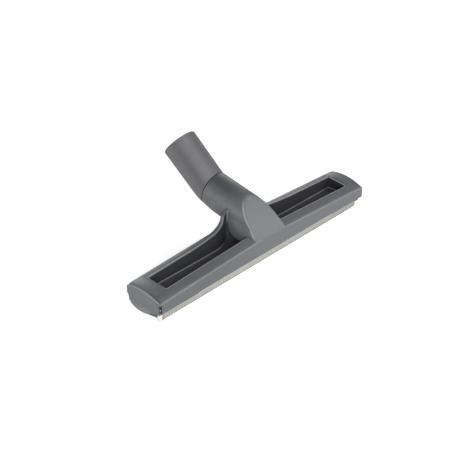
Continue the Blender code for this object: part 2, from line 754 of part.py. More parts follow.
def swivel_elbow():
    """Upper tube: bend, wand socket, and the spigot that turns in the neck's sleeve."""
    elbow = elbow_body()
    spigot = cylinder(
        "spigot", SEAM_AT + NECK_AXIS * SPIGOT_ROOT, SEAM_AT - NECK_AXIS * SPIGOT_LENGTH,
        SPIGOT_RADIUS, 48)
    join(elbow, spigot)
    inner = duct_path()
    cut(elbow, pipe("elbow_duct", inner, [DUCT_RADIUS] * len(inner), 40))
    socket_top = BEND_AT + ELBOW_AXIS * (ELBOW_REACH + CUT_PAST)
    socket_foot = BEND_AT + ELBOW_AXIS * (ELBOW_REACH - SOCKET_DEPTH)
    cut(elbow, cylinder(
        "wand_socket", socket_foot, socket_top, SOCKET_RADIUS - SOCKET_TAPER, 48, SOCKET_RADIUS))
    seat_outer = SPIGOT_RADIUS + SEAT_OPEN
    cut(elbow, ring_groove(
        "ring_seat", RING_FROM_SEAM, RING_WIDTH, SPIGOT_RADIUS - RING_DEPTH, seat_outer))
    cut(elbow, ring_groove(
        "seal_seat", SEAL_FROM_SEAM, SEAL_WIDTH, SPIGOT_RADIUS - SEAL_DEPTH, seat_outer))
    finish_part(elbow, ELBOW_PLASTIC)
    bpy.context.view_layer.update()
    elbow.data.transform(Matrix.Translation(-SEAM_AT))
    elbow.location = SEAM_AT
    return elbow


def neck_seal(elbow):
    """Round rubber ring in the spigot's inner groove."""
    frame = axis_frame(SEAM_AT, -NECK_AXIS)
    middle = SEAL_FROM_SEAM + SEAL_WIDTH / 2
    centre = SPIGOT_RADIUS - SEAL_DEPTH + GAP + SEAL_THICK
    profile = [
        (centre + SEAL_THICK * math.cos(angle), middle + SEAL_THICK * math.sin(angle))
        for angle in spread(0.0, math.tau * 7 / 8, 8)]
    seal = turned("neck_seal", profile, frame)
    finish_part(seal, SEAL_RUBBER)
    attach(seal, elbow)


def snap_ring(elbow):
    """Split ring in the spigot's outer groove, which keeps the elbow in the neck."""
    frame = axis_frame(SEAM_AT, -NECK_AXIS)
    low, high = RING_FROM_SEAM + GAP, RING_FROM_SEAM + RING_WIDTH - GAP
    inner, outer = SPIGOT_RADIUS - RING_DEPTH + GAP, SPIGOT_RADIUS + RING_STAND
    ring = turned("snap_ring", [(inner, low), (outer, low), (outer, high), (inner, high)], frame)
    half = RING_SPLIT / 2
    split = box("ring_split", (-half, 0.0, -NECK_RADIUS), (half, NECK_RADIUS, NECK_RADIUS))
    split.matrix_world = frame
    cut(ring, split)
    finish_part(ring, RING_PLASTIC)
    attach(ring, elbow)


def attach(piece, elbow):
    """Rides with the elbow: the piece's origin moves to the swivel axis and is parented."""
    bpy.context.view_layer.update()
    piece.data.transform(Matrix.Translation(-SEAM_AT))
    piece.parent = elbow


def move_to_blade():
    """Puts the origin on the front blade's tip; parts and their cutters move together."""
    for item in bpy.data.objects:
        if item.parent is None:
            item.location.y -= BLADE_Y


def build():
    head_shell()
    bottom_frame()
    front_blade()
    rear_blade()
    frame_screws()
    elbow = swivel_elbow()
    neck_seal(elbow)
    snap_ring(elbow)
    move_to_blade()


build()
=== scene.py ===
"""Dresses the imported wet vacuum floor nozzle: grey moulded head, ivory blade and bent tube."""
import math

import bmesh
import bpy
from mathutils import Matrix, Vector


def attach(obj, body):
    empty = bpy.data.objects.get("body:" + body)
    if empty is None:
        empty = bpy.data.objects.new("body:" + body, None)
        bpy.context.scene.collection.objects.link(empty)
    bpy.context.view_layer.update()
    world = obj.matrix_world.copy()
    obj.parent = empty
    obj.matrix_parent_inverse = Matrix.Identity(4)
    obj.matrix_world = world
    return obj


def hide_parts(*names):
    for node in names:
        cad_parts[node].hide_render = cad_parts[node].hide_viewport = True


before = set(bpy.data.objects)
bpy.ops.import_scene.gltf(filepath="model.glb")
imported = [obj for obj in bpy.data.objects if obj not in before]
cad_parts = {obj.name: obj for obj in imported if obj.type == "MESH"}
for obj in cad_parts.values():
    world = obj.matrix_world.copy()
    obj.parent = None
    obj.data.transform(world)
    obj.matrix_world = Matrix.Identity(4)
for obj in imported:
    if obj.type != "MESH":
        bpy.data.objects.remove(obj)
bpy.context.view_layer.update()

# The drawing's y runs from the middle of the head; the frame's from the front blade
DRAWN_TO_FRAME = Vector((0.0, 0.0210, 0.0))
GAP = 0.0003

# Camera, fitted to the photograph
CAMERA_AT = (-1.00711, -0.79695, 0.72595)
CAMERA_AZIMUTH = math.radians(-49.496)
CAMERA_ELEVATION = math.radians(28.068)
CAMERA_LENS = 103.44

# Lights: each one's name, where it lies as seen from the head, and its power
LAMPS = (
    ("front_softbox", (-0.615, -0.67, 0.33), 19.5),
    ("right_softbox", (0.66, -0.62, 0.42), 11.5),
    ("back_softbox", (0.60, 0.74, 0.28), 7.0),
    ("left_softbox", (-0.80, 0.55, 0.15), 7.5))
LAMP_AIM = Vector((0.0, 0.02, 0.03))
LAMP_DISTANCE = 1.5
LAMP_SIZE = 0.9
WORLD_LEVEL = 0.03

# Floor, just under the blades
FLOOR_HALF = 3.0
FLOOR_DROP = 0.0002
FLOOR_GLOW = 0.72

# Head
HALF_LENGTH = 0.1815
HALF_DEPTH = 0.0242
FRONT_LIP_Z = 0.0092
TOP_MID_Z = 0.0304
TOP_TILT = 0.0037
TOP_BOW = 0.0049
CAMBER_SLOPE = 0.046
CAMBER_EASE = 0.020
RIDGE_ROUND = 0.0022
BACK_ROUND = 0.0030
END_ROUND = 0.0007
END_RUN = 0.0062
END_DIP = 0.0013
END_DROP = 0.0006
END_LIP = 0.0013
END_CURVE = 1.6
PARTING_RISE = 0.0051
END_PARTING_RISE = 0.0085
END_PARTING_X = (0.1755, 0.1805)
BOTTOM_ROUND = 0.0006
LIP_BACK_Y = -0.0190
LIP_STEP_X = 0.1206
LIP_EASE = 0.0004
LIP_LOW = 0.0004
LIP_HIGH = 0.0006

# Recess in each end, the cap that lies in it, and the cut-back corner at the blade's open end
RIM_WIDE = 0.0011
RIM_BACK_EASE = 0.0003
RIM_BACK_Z = 0.0272
RECESS_DEEP = 0.0016
RECESS_BACK_Z = 0.0200
CAP_SUNK = 0.0002
CAP_THICK = 0.0006
CAP_EDGE = 0.0003
CAP_PARTING_Z = 0.0130
CAP_PARTING_GAP = 0.00024
NOTCH_LONG = 0.0027
NOTCH_TOP_Z = 0.0200
NOTCH_BACK_Y = -0.0212
FRAME_LOW_Z = 0.0022
FRAME_FRONT_RISE = 0.0018
FRAME_BACK_RISE = 0.0109

# Pockets in the top of the head
POCKET_OUTER_X = 0.1598
POCKET_INNER_X = 0.0165
POCKET_FRONT_Y = -0.0124
POCKET_BACK_Y = 0.0122
POCKET_FLOOR_Z = 0.0178
POCKET_SWEEP_LOW = 0.0080
POCKET_SWEEP_HIGH = 0.0062
SWEEP_LOW_X = 0.0520
SWEEP_HIGH_X = 0.0900
SWEEP_END_X = 0.0255
SWEEP_LOW_CURVE = 1.8
SWEEP_HIGH_CURVE = 1.5
POCKET_FRONT_CORNER = 0.0026
POCKET_BACK_CORNER = 0.0010
POCKET_RIM = 0.0014
POCKET_FILLET = 0.0012

# Rear webs, where the back wall climbs to the neck
WEB_FOOT_X = 0.0515
WEB_WALL_X = 0.0295
WEB_NECK_X = 0.0210
WEB_CURVE = 1.9
WEB_LOW_RISE = 0.0135
WEB_HIGH_RISE = 0.0060
WEB_STEP_Y = 0.0108

# Neck, hood and the flat facet on the hood's front
NECK_RADIUS = 0.0216
NECK_TILT = math.radians(14.5)
ELBOW_TILT = math.radians(40.6)
BEND = ELBOW_TILT - NECK_TILT
BEND_AT = Vector((0.0, 0.0615, 0.0615))
SEAM_FROM_BEND = 0.0012
SEAM_GROOVE = 0.0014
NECK_TRIM = 0.0017
NECK_TRIM_Y = (0.0360, 0.0603)
NECK_TRIM_TURNS = (15.0, -30.0)
SEAM_CHAMFER = 0.0004
HOOD_FOOT_HALF = 0.0290
HOOD_EASE = 0.12
HOOD_BASE_Z = 0.0138
HOOD_CORNER = 0.0040
HOOD_END_Y = 0.0198
HOOD_GONE_Y = 0.0228
HOOD_BELLY = (0.0, 0.0420)
HOOD_BELLY_HALF = (0.0187, 0.0173)
HOOD_TUCK_X = 0.0170
HOOD_LEVELS = 41
HOOD_FOOT_TURN = math.radians(-88)
HOOD_LEAN = 0.0062
HOOD_LEAN_X = 0.0180
HOOD_LEAN_Y = (0.0120, -0.0040)
HOOD_LEAN_Z = (0.0600, 0.0360)
FACET_TILT = math.radians(52.3)
FACET_FOOT_Y = -0.0222
FACET_FOOT_Z = 0.0310
FACET_ROUND = 0.0022

# Hollows under the head and through the neck
CHAMBER_HALF = 0.1655
CHAMBER_FRONT_Y = -0.0160
CHAMBER_BACK_Y = 0.0090
CHAMBER_TOP_Z = 0.0153
DUCT_WALL = 0.0030
DUCT_END_Y = 0.0135
NECK_BORE_RADIUS = 0.0166
BORE_START_Y = 0.0125
SLEEVE_RADIUS = 0.0180
SLEEVE_DEPTH = 0.0180
REAR_HOLLOW_INNER_X = 0.0560
REAR_HOLLOW_FRONT_Y = 0.0146
REAR_HOLLOW_BACK_Y = 0.0218
REAR_HOLLOW_TOP_Z = 0.0250

# How far a cutter reaches past what it cuts, and where one that is open below starts
PAST = 0.0200
BELOW = -0.0300

# Elbow
ELBOW_FOOT_RADIUS = 0.0204
ELBOW_RIM_RADIUS = 0.0210
ELBOW_TRIM = 0.0010
BEND_FULLNESS = 0.5
ELBOW_REACH = 0.06683
ELBOW_RIM_ROUND = 0.0012
ELBOW_RIM_WALL = 0.0032
SOCKET_DEPTH = 0.0440
SOCKET_TAPER = 0.0003
DUCT_RADIUS = 0.0152
DUCT_BEND_RADIUS = 0.0228
SPIGOT_RADIUS = 0.0174
SPIGOT_LENGTH = 0.0165
# Start, width and depth of the grooves for the snap ring and the seal
SPIGOT_GROOVES = ((0.0105, 0.0020, 0.0010), (0.0045, 0.0030, 0.0012))

# Front blade and its groove
BLADE_Y = -0.0210
BLADE_THICK = 0.0024
BLADE_FRONT_Y = BLADE_Y - BLADE_THICK / 2
BLADE_BACK_Y = BLADE_Y + BLADE_THICK / 2
BLADE_EDGE = 0.0004
BLADE_BEAD_Z = 0.0140
BLADE_BEAD_RADIUS = 0.0017
BLADE_STOP = 0.0120
BLADE_CORNER = 0.0035
BLADE_PLAIN_END = 0.0050
BLADE_LOW_END = 0.0070
BLADE_LOW_Z = 0.0072
BLADE_CORE_BACK = 0.0032
BLADE_CORE_Z = 0.0122
BLADE_CORE_RADIUS = 0.0009
GROOVE_WIDTH = 0.0030
GROOVE_TOP_Z = 0.0188
RIB_PITCH = 0.0040
RIB_WIDTH = 0.0024
RIB_DEPTH = 0.0006
RIB_LOW_Z = 0.0006
RIB_HIGH_Z = 0.0060
# Where the blade is cut across for each rib, in shares of the pitch from the rib's middle
RIB_CUTS = (-0.5, -0.36, -0.31, -0.25, -0.2, 0.0, 0.2, 0.25, 0.31, 0.36)

# Where a tone starts and where it is full, along one of the drawing's axes; most of these tones are
# painted light and shade
FACE_LIGHT_X = (-0.1100, 0.0100)
STRIP_DARK_X = (-0.0500, -0.1000)
REAR_DARK_X = (-0.0900, -0.1200)
REAR_LIGHT_X = (-0.1600, -0.1450)
REAR_Y = (0.0100, 0.0140)
TOP_TONE_Z = (0.0240, 0.0260)
CORNER_X = (0.1610, 0.1680)
CORNER_Y = (-0.0100, 0.0160)
ROLL_X = (0.0, -0.1000)
OVER_END_Z = (0.0190, 0.0205)
CHEEK_X = (0.0310, 0.0295)
CHEEK_Y = (-0.0120, -0.0100)
CHEEK_Z = (0.0440, 0.0330)
NECK_TONE_Y = (0.0060, 0.0300)
NECK_TONE_Z = (0.0400, 0.0500)
FACET_DARK_Z = (0.0440, 0.0640)
FACET_EDGE_X = (-0.0040, -0.0110)
FACET_EDGE_Y = (0.0090, 0.0020)
FACET_EDGE_Z = (0.0310, 0.0335)
TUCK_TOP_Z = (0.0535, 0.0515)
BY_HOOD_X = (0.0330, 0.0300)
FROM_HOOD_X = (0.0300, 0.0330)
POCKET_HIGH_Z = (0.0430, 0.0390)
POCKET_WALL_X = (0.0200, 0.0270)
POCKET_CREASE_X = (0.0260, 0.0420)
POCKET_LINE_X = (0.0400, 0.0600)
CAP_FOOT_Z = (0.0115, 0.0060)
CAP_FRONT_Y = (-0.0060, -0.0190)
SCUFFS_Z = (0.0050, 0.0020)
BLADE_DULL_X = (0.0500, 0.1300)

SIDE = Vector((1.0, 0.0, 0.0))
NECK_AXIS = Vector((0.0, math.cos(NECK_TILT), math.sin(NECK_TILT)))
NECK_UP = Vector((0.0, -math.sin(NECK_TILT), math.cos(NECK_TILT)))
ELBOW_AXIS = Vector((0.0, math.cos(ELBOW_TILT), math.sin(ELBOW_TILT)))
SEAM_AT = BEND_AT - NECK_AXIS * SEAM_FROM_BEND


# Mesh tools


def mesh_piece(name, points, faces):
    mesh = bpy.data.meshes.new(name)
    mesh.from_pydata([tuple(point) for point in points], [], faces)
    mesh.validate()
    made = bpy.data.objects.new(name, mesh)
    bpy.context.scene.collection.objects.link(made)
    return made


def ring_faces(rings, count, closed=False):
    """Quads between neighbouring rings of count points each; closed joins the last to the first."""
    faces = []
    for k in range(rings if closed else rings - 1):
        here, there = k * count, (k + 1) % rings * count
        for i in range(count):
            j = (i + 1) % count
            faces.append((here + i, here + j, there + j, there + i))
    return faces


def loft(name, rings):
    """A closed solid through rings of equal point counts, capped at both ends."""
    count = len(rings[0])
    faces = ring_faces(len(rings), count)
    faces.append(tuple(reversed(range(count))))
    last = (len(rings) - 1) * count
    faces.append(tuple(range(last, last + count)))
    made = mesh_piece(name, [point for ring in rings for point in ring], faces)
    face_outwards(made)
    return made


def face_outwards(piece, triangles=False):
    body = bmesh.new()
    body.from_mesh(piece.data)
    bmesh.ops.remove_doubles(body, verts=body.verts, dist=0.000005)
    if triangles:
        bmesh.ops.triangulate(body, faces=body.faces)
    bmesh.ops.recalc_face_normals(body, faces=body.faces)
    body.to_mesh(piece.data)
    body.free()


def box(name, low, high):
    low, high = Vector(low), Vector(high)
    corners = [
        (x, y, z) for x in (low.x, high.x) for y in (low.y, high.y) for z in (low.z, high.z)]
    faces = [(0, 1, 3, 2), (4, 6, 7, 5), (0, 4, 5, 1), (2, 3, 7, 6), (0, 2, 6, 4), (1, 5, 7, 3)]
    made = mesh_piece(name, corners, faces)
    face_outwards(made)
    return made


def circle(centre, side, up, radius, count):
    return [
        centre + (side * math.cos(angle) + up * math.sin(angle)) * radius
        for angle in turn_steps(count)]


def turn_steps(count):
    return [math.tau * i / count for i in range(count)]


def rod(name, start, end, radius, count=64):
    """A straight round bar, used as a cutter."""
    start, end = Vector(start), Vector(end)
    axis = (end - start).normalized()
    side = SIDE if abs(axis.x) < 0.5 else Vector((0.0, 1.0, 0.0))
    up = axis.cross(side).normalized()
    return loft(name, [circle(start, side, up, radius, count), circle(end, side, up, radius, count)])


def combine(piece, others, operation):
    """Applies Booleans with the other solids, which are used up."""
    for other in others:
        face_outwards(other, triangles=True)
        step = piece.modifiers.new(operation, "BOOLEAN")
        step.operation = operation
        step.solver = "MANIFOLD"
        step.object = other
    apply_modifiers(piece)
    for other in others:
        bpy.data.objects.remove(other, do_unlink=True)


def apply_modifiers(piece):
    bpy.context.view_layer.update()
    graph = bpy.context.evaluated_depsgraph_get()
    made = bpy.data.meshes.new_from_object(piece.evaluated_get(graph))
    piece.modifiers.clear()
    piece.data = made


def smooth_shade(piece, angle=32.0):
    piece.data.shade_smooth()
    piece.data.set_sharp_from_angle(angle=math.radians(angle))
    weights = piece.modifiers.new("face_weighted_normals", "WEIGHTED_NORMAL")
    weights.keep_sharp = True
    weights.weight = 60


def spread(low, high, count):
    return [low + (high - low) * i / (count - 1) for i in range(count)]


def share(low, high, value):
    """How far value has gone from low to high, from 0 to 1."""
    return min(1.0, max(0.0, (value - low) / (high - low)))


def smooth_step(low, high, value):
    t = share(low, high, value)
    return t * t * (3.0 - 2.0 * t)


def smooth_min(a, b, reach):
    """The lesser of two numbers, rounded off over reach where they are nearly equal."""
    near = max(reach - abs(a - b), 0.0) / reach
    return min(a, b) - near * near * reach / 4.0


def rounded(corners, steps=5):
    """An outline with each corner (u, v, radius) rounded by an arc."""
    outline = []
    count = len(corners)
    for i, (u, v, radius) in enumerate(corners):
        here = Vector((u, v))
        if radius == 0.0:
            outline.append(here)
            continue
        before = (Vector(corners[i - 1][:2]) - here).normalized()
        after = (Vector(corners[(i + 1) % count][:2]) - here).normalized()
        half = before.angle(after) / 2
        centre = here + (before + after).normalized() * radius / math.sin(half)
        start = here + before * radius / math.tan(half) - centre
        end = here + after * radius / math.tan(half) - centre
        turn = start.angle_signed(end)
        for step in range(steps + 1):
            outline.append(centre + Matrix.Rotation(-turn * step / steps, 2) @ start)
    return outline


# Head shell


def camber(x):
    """How far the top of the head stands above its height at the ends."""
    rise = math.hypot(HALF_LENGTH, CAMBER_EASE) - math.hypot(x, CAMBER_EASE)
    return CAMBER_SLOPE * rise


def plain_top(x, y):
    t = y / HALF_DEPTH
    return TOP_MID_Z + TOP_TILT * t - TOP_BOW * t * t + camber(x)


def web_rise(x):
    """How far the rear web stands up at x: a hollow curve, then a slope up to the neck."""
    climb = share(WEB_FOOT_X, WEB_WALL_X, abs(x))
    low = 1.0 - (1.0 - climb ** WEB_CURVE) ** (1.0 / WEB_CURVE)
    high = 1.0 - share(WEB_NECK_X, WEB_WALL_X, abs(x)) ** 1.5
    return WEB_LOW_RISE * low + WEB_HIGH_RISE * high


def top_z(x, y):
    return plain_top(x, y) + web_rise(x) * smooth_step(WEB_STEP_Y - 0.002, WEB_STEP_Y, y)


def parting_z(x, y):
    """Height of the shell's lower edge; the front lip steps down near the ends."""
    t = max(0.0, y / HALF_DEPTH)
    rise = PARTING_RISE + (END_PARTING_RISE - PARTING_RISE) * smooth_step(*END_PARTING_X, abs(x))
    down = smooth_step(LIP_STEP_X - LIP_EASE, LIP_STEP_X + LIP_EASE, abs(x))
    lip = LIP_HIGH - (LIP_HIGH + LIP_LOW) * down
    return FRONT_LIP_Z + rise * t * t + lip * smooth_step(LIP_BACK_Y, LIP_BACK_Y - 0.0010, y)


def end_drop(x):
    """How far the top has sunk at x: it rolls off towards the end, on the left to a raised rim."""
    dip = END_DIP if x < 0 else END_DROP
    t = share(HALF_LENGTH - END_RUN, HALF_LENGTH - END_LIP, abs(x))
    rim = smooth_step(HALF_LENGTH - END_LIP, HALF_LENGTH - END_LIP + 0.0004, abs(x))
    return dip * t ** END_CURVE + (END_DROP - dip) * rim


def head_ring(x, inset):
    """The head's outline at x, drawn in by inset where the ends are rounded off."""
    front, back = -HALF_DEPTH + inset, HALF_DEPTH - inset
    fall = end_drop(x) + inset
    crest = spread(front + 0.0035, WEB_STEP_Y - 0.0035, 14)
    crest += spread(WEB_STEP_Y - 0.0025, WEB_STEP_Y + 0.0005, 5)
    crest += spread(WEB_STEP_Y + 0.0015, back - 0.0045, 6)
    belly = spread(back - 0.0015, LIP_BACK_Y + 0.0010, 10)
    belly += spread(LIP_BACK_Y + 0.0002, LIP_BACK_Y - 0.0014, 5) + [LIP_BACK_Y - 0.0030]
    corners = [(front, parting_z(x, front), BOTTOM_ROUND)]
    corners += [(front, top_z(x, front) - fall, RIDGE_ROUND)]
    corners += [(y, top_z(x, y) - fall, 0.0) for y in crest]
    corners += [(back, top_z(x, back) - fall, BACK_ROUND)]
    corners += [(back, parting_z(x, back), BOTTOM_ROUND)]
    corners += [(y, parting_z(x, y), 0.0) for y in belly]
    return [(x, y, z) for y, z in rounded(corners)]


def head_stations():
    """Places along the head and how far the outline is drawn in at each."""
    lip = spread(LIP_STEP_X - 0.0006, LIP_STEP_X + 0.0006, 5)
    inner = spread(0.0, WEB_NECK_X, 10) + spread(WEB_NECK_X, WEB_WALL_X, 10)[1:]
    inner += [WEB_WALL_X + step for step in (0.00004, 0.00014, 0.00032, 0.0006, 0.0010, 0.0016)]
    inner += spread(WEB_WALL_X + 0.0024, WEB_FOOT_X, 24)
    inner += spread(WEB_FOOT_X, LIP_STEP_X - 0.0015, 18)[1:] + lip
    inner += spread(LIP_STEP_X + 0.0015, HALF_LENGTH - END_RUN, 16)
    inner += spread(HALF_LENGTH - END_RUN, HALF_LENGTH - END_LIP, 8)[1:]
    inner += spread(HALF_LENGTH - END_LIP, HALF_LENGTH - END_ROUND, 6)[1:]
    right = [(x, 0.0) for x in inner]
    for angle in spread(math.radians(22.5), math.radians(90), 4):
        out, inset = END_ROUND * (math.sin(angle) - 1), END_ROUND * (1 - math.cos(angle))
        right.append((HALF_LENGTH + out, inset))
    return [(-x, inset) for x, inset in reversed(right[1:])] + right


def frame_low(y):
    """Height of the bottom frame's underside at its ends."""
    t = y / HALF_DEPTH
    return FRAME_LOW_Z + (FRAME_BACK_RISE * t ** 2.6 if t > 0 else FRAME_FRONT_RISE * abs(t) ** 1.5)


def rim_line(inset):
    """The line just inside an end's raised rim, from the back over the top to the front."""
    line = [(HALF_DEPTH - RIM_BACK_EASE - inset, RIM_BACK_Z)]
    for y in spread(HALF_DEPTH - 0.0022 - inset, -0.0205 + inset, 24):
        line.append((y, plain_top(HALF_LENGTH, y) - END_DROP - inset))
    return line


def end_slab(name, outline, x_low, x_high):
    points = [(x, y, z) for x in (x_low, x_high) for y, z in outline]
    count = len(outline)
    faces = [tuple(range(count)), tuple(range(count, 2 * count))]
    faces += [(i, (i + 1) % count, count + (i + 1) % count, count + i) for i in range(count)]
    made = mesh_piece(name, points, faces)
    face_outwards(made)
    return made


def end_recess(side):
    """Hollow inside the rim of one end, open below."""
    outline = [(HALF_DEPTH + PAST, BELOW), (HALF_DEPTH + PAST, RECESS_BACK_Z)]
    outline += [(HALF_DEPTH - RIM_BACK_EASE - RIM_WIDE, RECESS_BACK_Z)] + rim_line(RIM_WIDE)
    outline += [(NOTCH_BACK_Y, NOTCH_TOP_Z + 0.0012), (NOTCH_BACK_Y, BELOW)]
    ends = sorted((side * (HALF_LENGTH - RECESS_DEEP), side * (HALF_LENGTH + PAST)))
    return end_slab("end_recess", outline, *ends)


def cap_parting(y):
    """Height of the line across a cap, where the shell's end meets the frame's."""
    t = y / HALF_DEPTH
    return CAP_PARTING_Z + (0.0052 * t ** 2 if t > 0 else 0.0045 * t - 0.0010 * t * t)


def cap_outlines():
    """A cap's lens in two halves: under the rim and bowed in front, and the frame's lower end."""
    across = spread(0.0222, -0.0209, 18)
    upper = [(0.0236, 0.0186), (0.0240, 0.0196), (0.0226, 0.0198)]
    upper += [(y, z) for y, z in rim_line(RIM_WIDE + 0.0002) if y > -0.0095]
    upper += [(-0.0128, 0.0250), (-0.0156, 0.0236), (-0.0182, 0.0214), (-0.0200, 0.0190)]
    upper += [(-0.0208, 0.0164), (-0.0210, 0.0135)]
    upper += [(y, cap_parting(y) + CAP_PARTING_GAP / 2) for y in reversed(across)]
    lower = [(y, cap_parting(y) - CAP_PARTING_GAP / 2) for y in across]
    lower += [(-0.0200, 0.0076), (-0.0150, 0.0070), (-0.0092, 0.0057)]
    lower += [(y, frame_low(y) + 0.0005) for y in spread(-0.0035, 0.0184, 12)]
    lower += [(0.0198, 0.0110), (0.0210, 0.0130)]
    return [upper, lower]


def drawn_in(outline, inset):
    """An outline moved inwards by inset, all round."""
    points = [Vector(point) for point in outline]
    turn = sum(points[i - 1].cross(point) for i, point in enumerate(points))
    moved = []
    for i, point in enumerate(points):
        along = (points[(i + 1) % len(points)] - points[i - 1]).normalized()
        inwards = Vector((-along.y, along.x)) * (1 if turn > 0 else -1)
        moved.append(point + inwards * inset)
    return moved


def end_caps():
    """The thin lens-shaped caps, slightly sunk in the ends' rims, with eased edges."""
    face = HALF_LENGTH - CAP_SUNK
    layers = ((face - CAP_THICK, 0.0), (face - CAP_EDGE, 0.0), (face - CAP_EDGE * 0.3, CAP_EDGE * 0.3))
    layers += ((face, CAP_EDGE),)
    halves = []
    for side in (-1, 1):
        for outline in cap_outlines():
            rings = [[(side * x, y, z) for y, z in drawn_in(outline, inset)] for x, inset in layers]
            halves.append(loft("end_caps", rings))
    caps = halves[0]
    combine(caps, halves[1:], "UNION")
    smooth_shade(caps, 50.0)
    return caps


def pocket_back(x, height):
    """Where a pocket's back wall stands at x, from its floor at height 0 to its rim at 1."""
    low = POCKET_SWEEP_LOW * share(SWEEP_LOW_X, SWEEP_END_X, abs(x)) ** SWEEP_LOW_CURVE
    high = POCKET_SWEEP_HIGH * share(SWEEP_HIGH_X, SWEEP_END_X, abs(x)) ** SWEEP_HIGH_CURVE
    return POCKET_BACK_Y + low + (high - low) * height


def corner_cut(x, radius):
    """How far a rounded outer corner draws a pocket's wall in at x."""
    into = min(radius, max(0.0, x - POCKET_OUTER_X + radius))
    return radius - math.sqrt(radius * radius - into * into)


def pocket_places():
    """Places along a pocket, from its inner end to its outer corners."""
    places = spread(POCKET_INNER_X, POCKET_OUTER_X - POCKET_FRONT_CORNER, 90)
    for radius in (POCKET_FRONT_CORNER, POCKET_BACK_CORNER):
        places += [POCKET_OUTER_X - radius * (1 - math.sin(a)) for a in spread(0.15, math.pi / 2, 6)]
    return sorted(set(round(x, 6) for x in places))


def pocket_ring(side, outset, lift, top):
    """One loop of a pocket's wall, moved outwards by outset: lift over its floor, or under its rim."""
    front, back = [], []
    for x in pocket_places():
        grown = x + outset * smooth_step(POCKET_OUTER_X - 0.004, POCKET_OUTER_X, x)
        front.append((grown, POCKET_FRONT_Y + corner_cut(x, POCKET_FRONT_CORNER) - outset))
        wall = pocket_back(x, 1.0 if top else lift / (TOP_MID_Z - POCKET_FLOOR_Z))
        back.append((grown, wall - corner_cut(x, POCKET_BACK_CORNER) + outset))
    return [
        (side * x, y, top_z(x, y) + lift if top else POCKET_FLOOR_Z + lift)
        for x, y in front + back[::-1]]


def pocket_cutter(side):
    """A pocket's hollow: filleted floor, swept back wall and a rolled rim."""
    rings = []
    for angle in spread(0.0, math.pi / 2, 4):
        outset, lift = POCKET_FILLET * (math.sin(angle) - 1), POCKET_FILLET * (1 - math.cos(angle))
        rings.append(pocket_ring(side, outset, lift, False))
    for angle in spread(0.0, math.radians(75), 5):
        outset, drop = POCKET_RIM * (1 - math.cos(angle)), POCKET_RIM * (1 - math.sin(angle))
        rings.append(pocket_ring(side, outset, -drop, True))
    rings.append(pocket_ring(side, 2 * POCKET_RIM, 2 * POCKET_RIM, True))
    rings.append([(x, y, BEND_AT.z + PAST) for x, y, z in rings[-1]])
    count = len(rings[0])
    faces = ring_faces(len(rings), count)
    for base in (0, (len(rings) - 1) * count):
        for i in range(count // 2 - 1):
            faces.append((base + i, base + i + 1, base + count - 2 - i, base + count - 1 - i))
    made = mesh_piece("pocket_cutter", [point for ring in rings for point in ring], faces)
    face_outwards(made)
    return made


def neck_z(y):
    """Height of the neck's axis at y."""
    return BEND_AT.z + (y - BEND_AT.y) * math.tan(NECK_TILT)


def facet_z(y):
    return FACET_FOOT_Z + (y - FACET_FOOT_Y) * math.tan(FACET_TILT)


def hood_half(y, z):
    """Half width of the hood at a height, less its rounded front corners."""
    level = (z - HOOD_BASE_Z) / (neck_z(y) - HOOD_BASE_Z)
    flare = (math.hypot(1 - level, HOOD_EASE) - HOOD_EASE) / (math.hypot(1, HOOD_EASE) - HOOD_EASE)
    half = NECK_RADIUS + (HOOD_FOOT_HALF - NECK_RADIUS) * flare
    into = min(HOOD_CORNER, max(0.0, -HALF_DEPTH + HOOD_CORNER - y))
    return half - HOOD_CORNER + math.sqrt(HOOD_CORNER ** 2 - into ** 2)


def hood_tuck(y, z):
    """How far the hood's side is tucked in at y and z: 0 on its cheek, 1 under and behind it."""
    behind = max(0.0, y - HOOD_BELLY[0]) / HOOD_BELLY_HALF[0]
    under = max(0.0, HOOD_BELLY[1] - z) / HOOD_BELLY_HALF[1]
    tuck = smooth_step(-0.03, 0.05, math.hypot(behind, under) - 1.0)
    return tuck * smooth_step(POCKET_FRONT_Y, POCKET_FRONT_Y + 0.0020, y)


def hood_side(y, level, inset):
    """A point on the hood's right side, which draws in to the round tube behind."""
    z = HOOD_BASE_Z + level * (neck_z(y) - HOOD_BASE_Z)
    turn = HOOD_FOOT_TURN * (1 - level)
    radius = NECK_RADIUS - inset
    high = radius * math.sin(turn) / math.cos(NECK_TILT)
    round_at = Vector((radius * math.cos(turn), neck_z(y) + high))
    half = hood_half(y, z)
    half += (HOOD_TUCK_X - half) * hood_tuck(y, z)
    flared = Vector((half - inset, z))
    return flared.lerp(round_at, smooth_step(HOOD_END_Y, HOOD_GONE_Y, y))


def lean_out(y, point):
    """A point of the hood's right side, moved out where its flank leans towards the foot."""
    down = share(*HOOD_LEAN_Z, point.y) * smooth_step(*HOOD_LEAN_Y, y)
    return Vector((point.x + HOOD_LEAN * down * min(1.0, point.x / HOOD_LEAN_X), point.y))


def under_facet(point, y, inset):
    """Draws a point of the section at y in to the flat facet, with a rounded edge."""
    base = Vector((0.0, HOOD_BASE_Z))
    out = point - base
    lean = out.y / out.length
    if y > HOOD_END_Y or lean < 0.05:
        return point
    facet = facet_z(y) - inset / math.cos(FACET_TILT) - HOOD_BASE_Z
    return base + out.normalized() * smooth_min(out.length, max(facet, 0.0005) / lean, FACET_ROUND)


def hood_ring(y, inset=0.0):
    """The section at y: up the hood's right side, over the tube's top and down the left."""
    right = [hood_side(y, level, inset) for level in spread(0.0, 1.0, HOOD_LEVELS)]
    radius = NECK_RADIUS - inset
    for turn in spread(0.0, math.pi / 2, 31)[1:]:
        high = radius * math.sin(turn) / math.cos(NECK_TILT)
        right.append(Vector((radius * math.cos(turn), neck_z(y) + high)))
    right = [under_facet(point, y, inset) for point in right]
    left = [Vector((-point.x, point.y)) for point in reversed(right[:-1])]
    return [(point.x, y, point.y) for point in [lean_out(y, point) for point in right] + left]


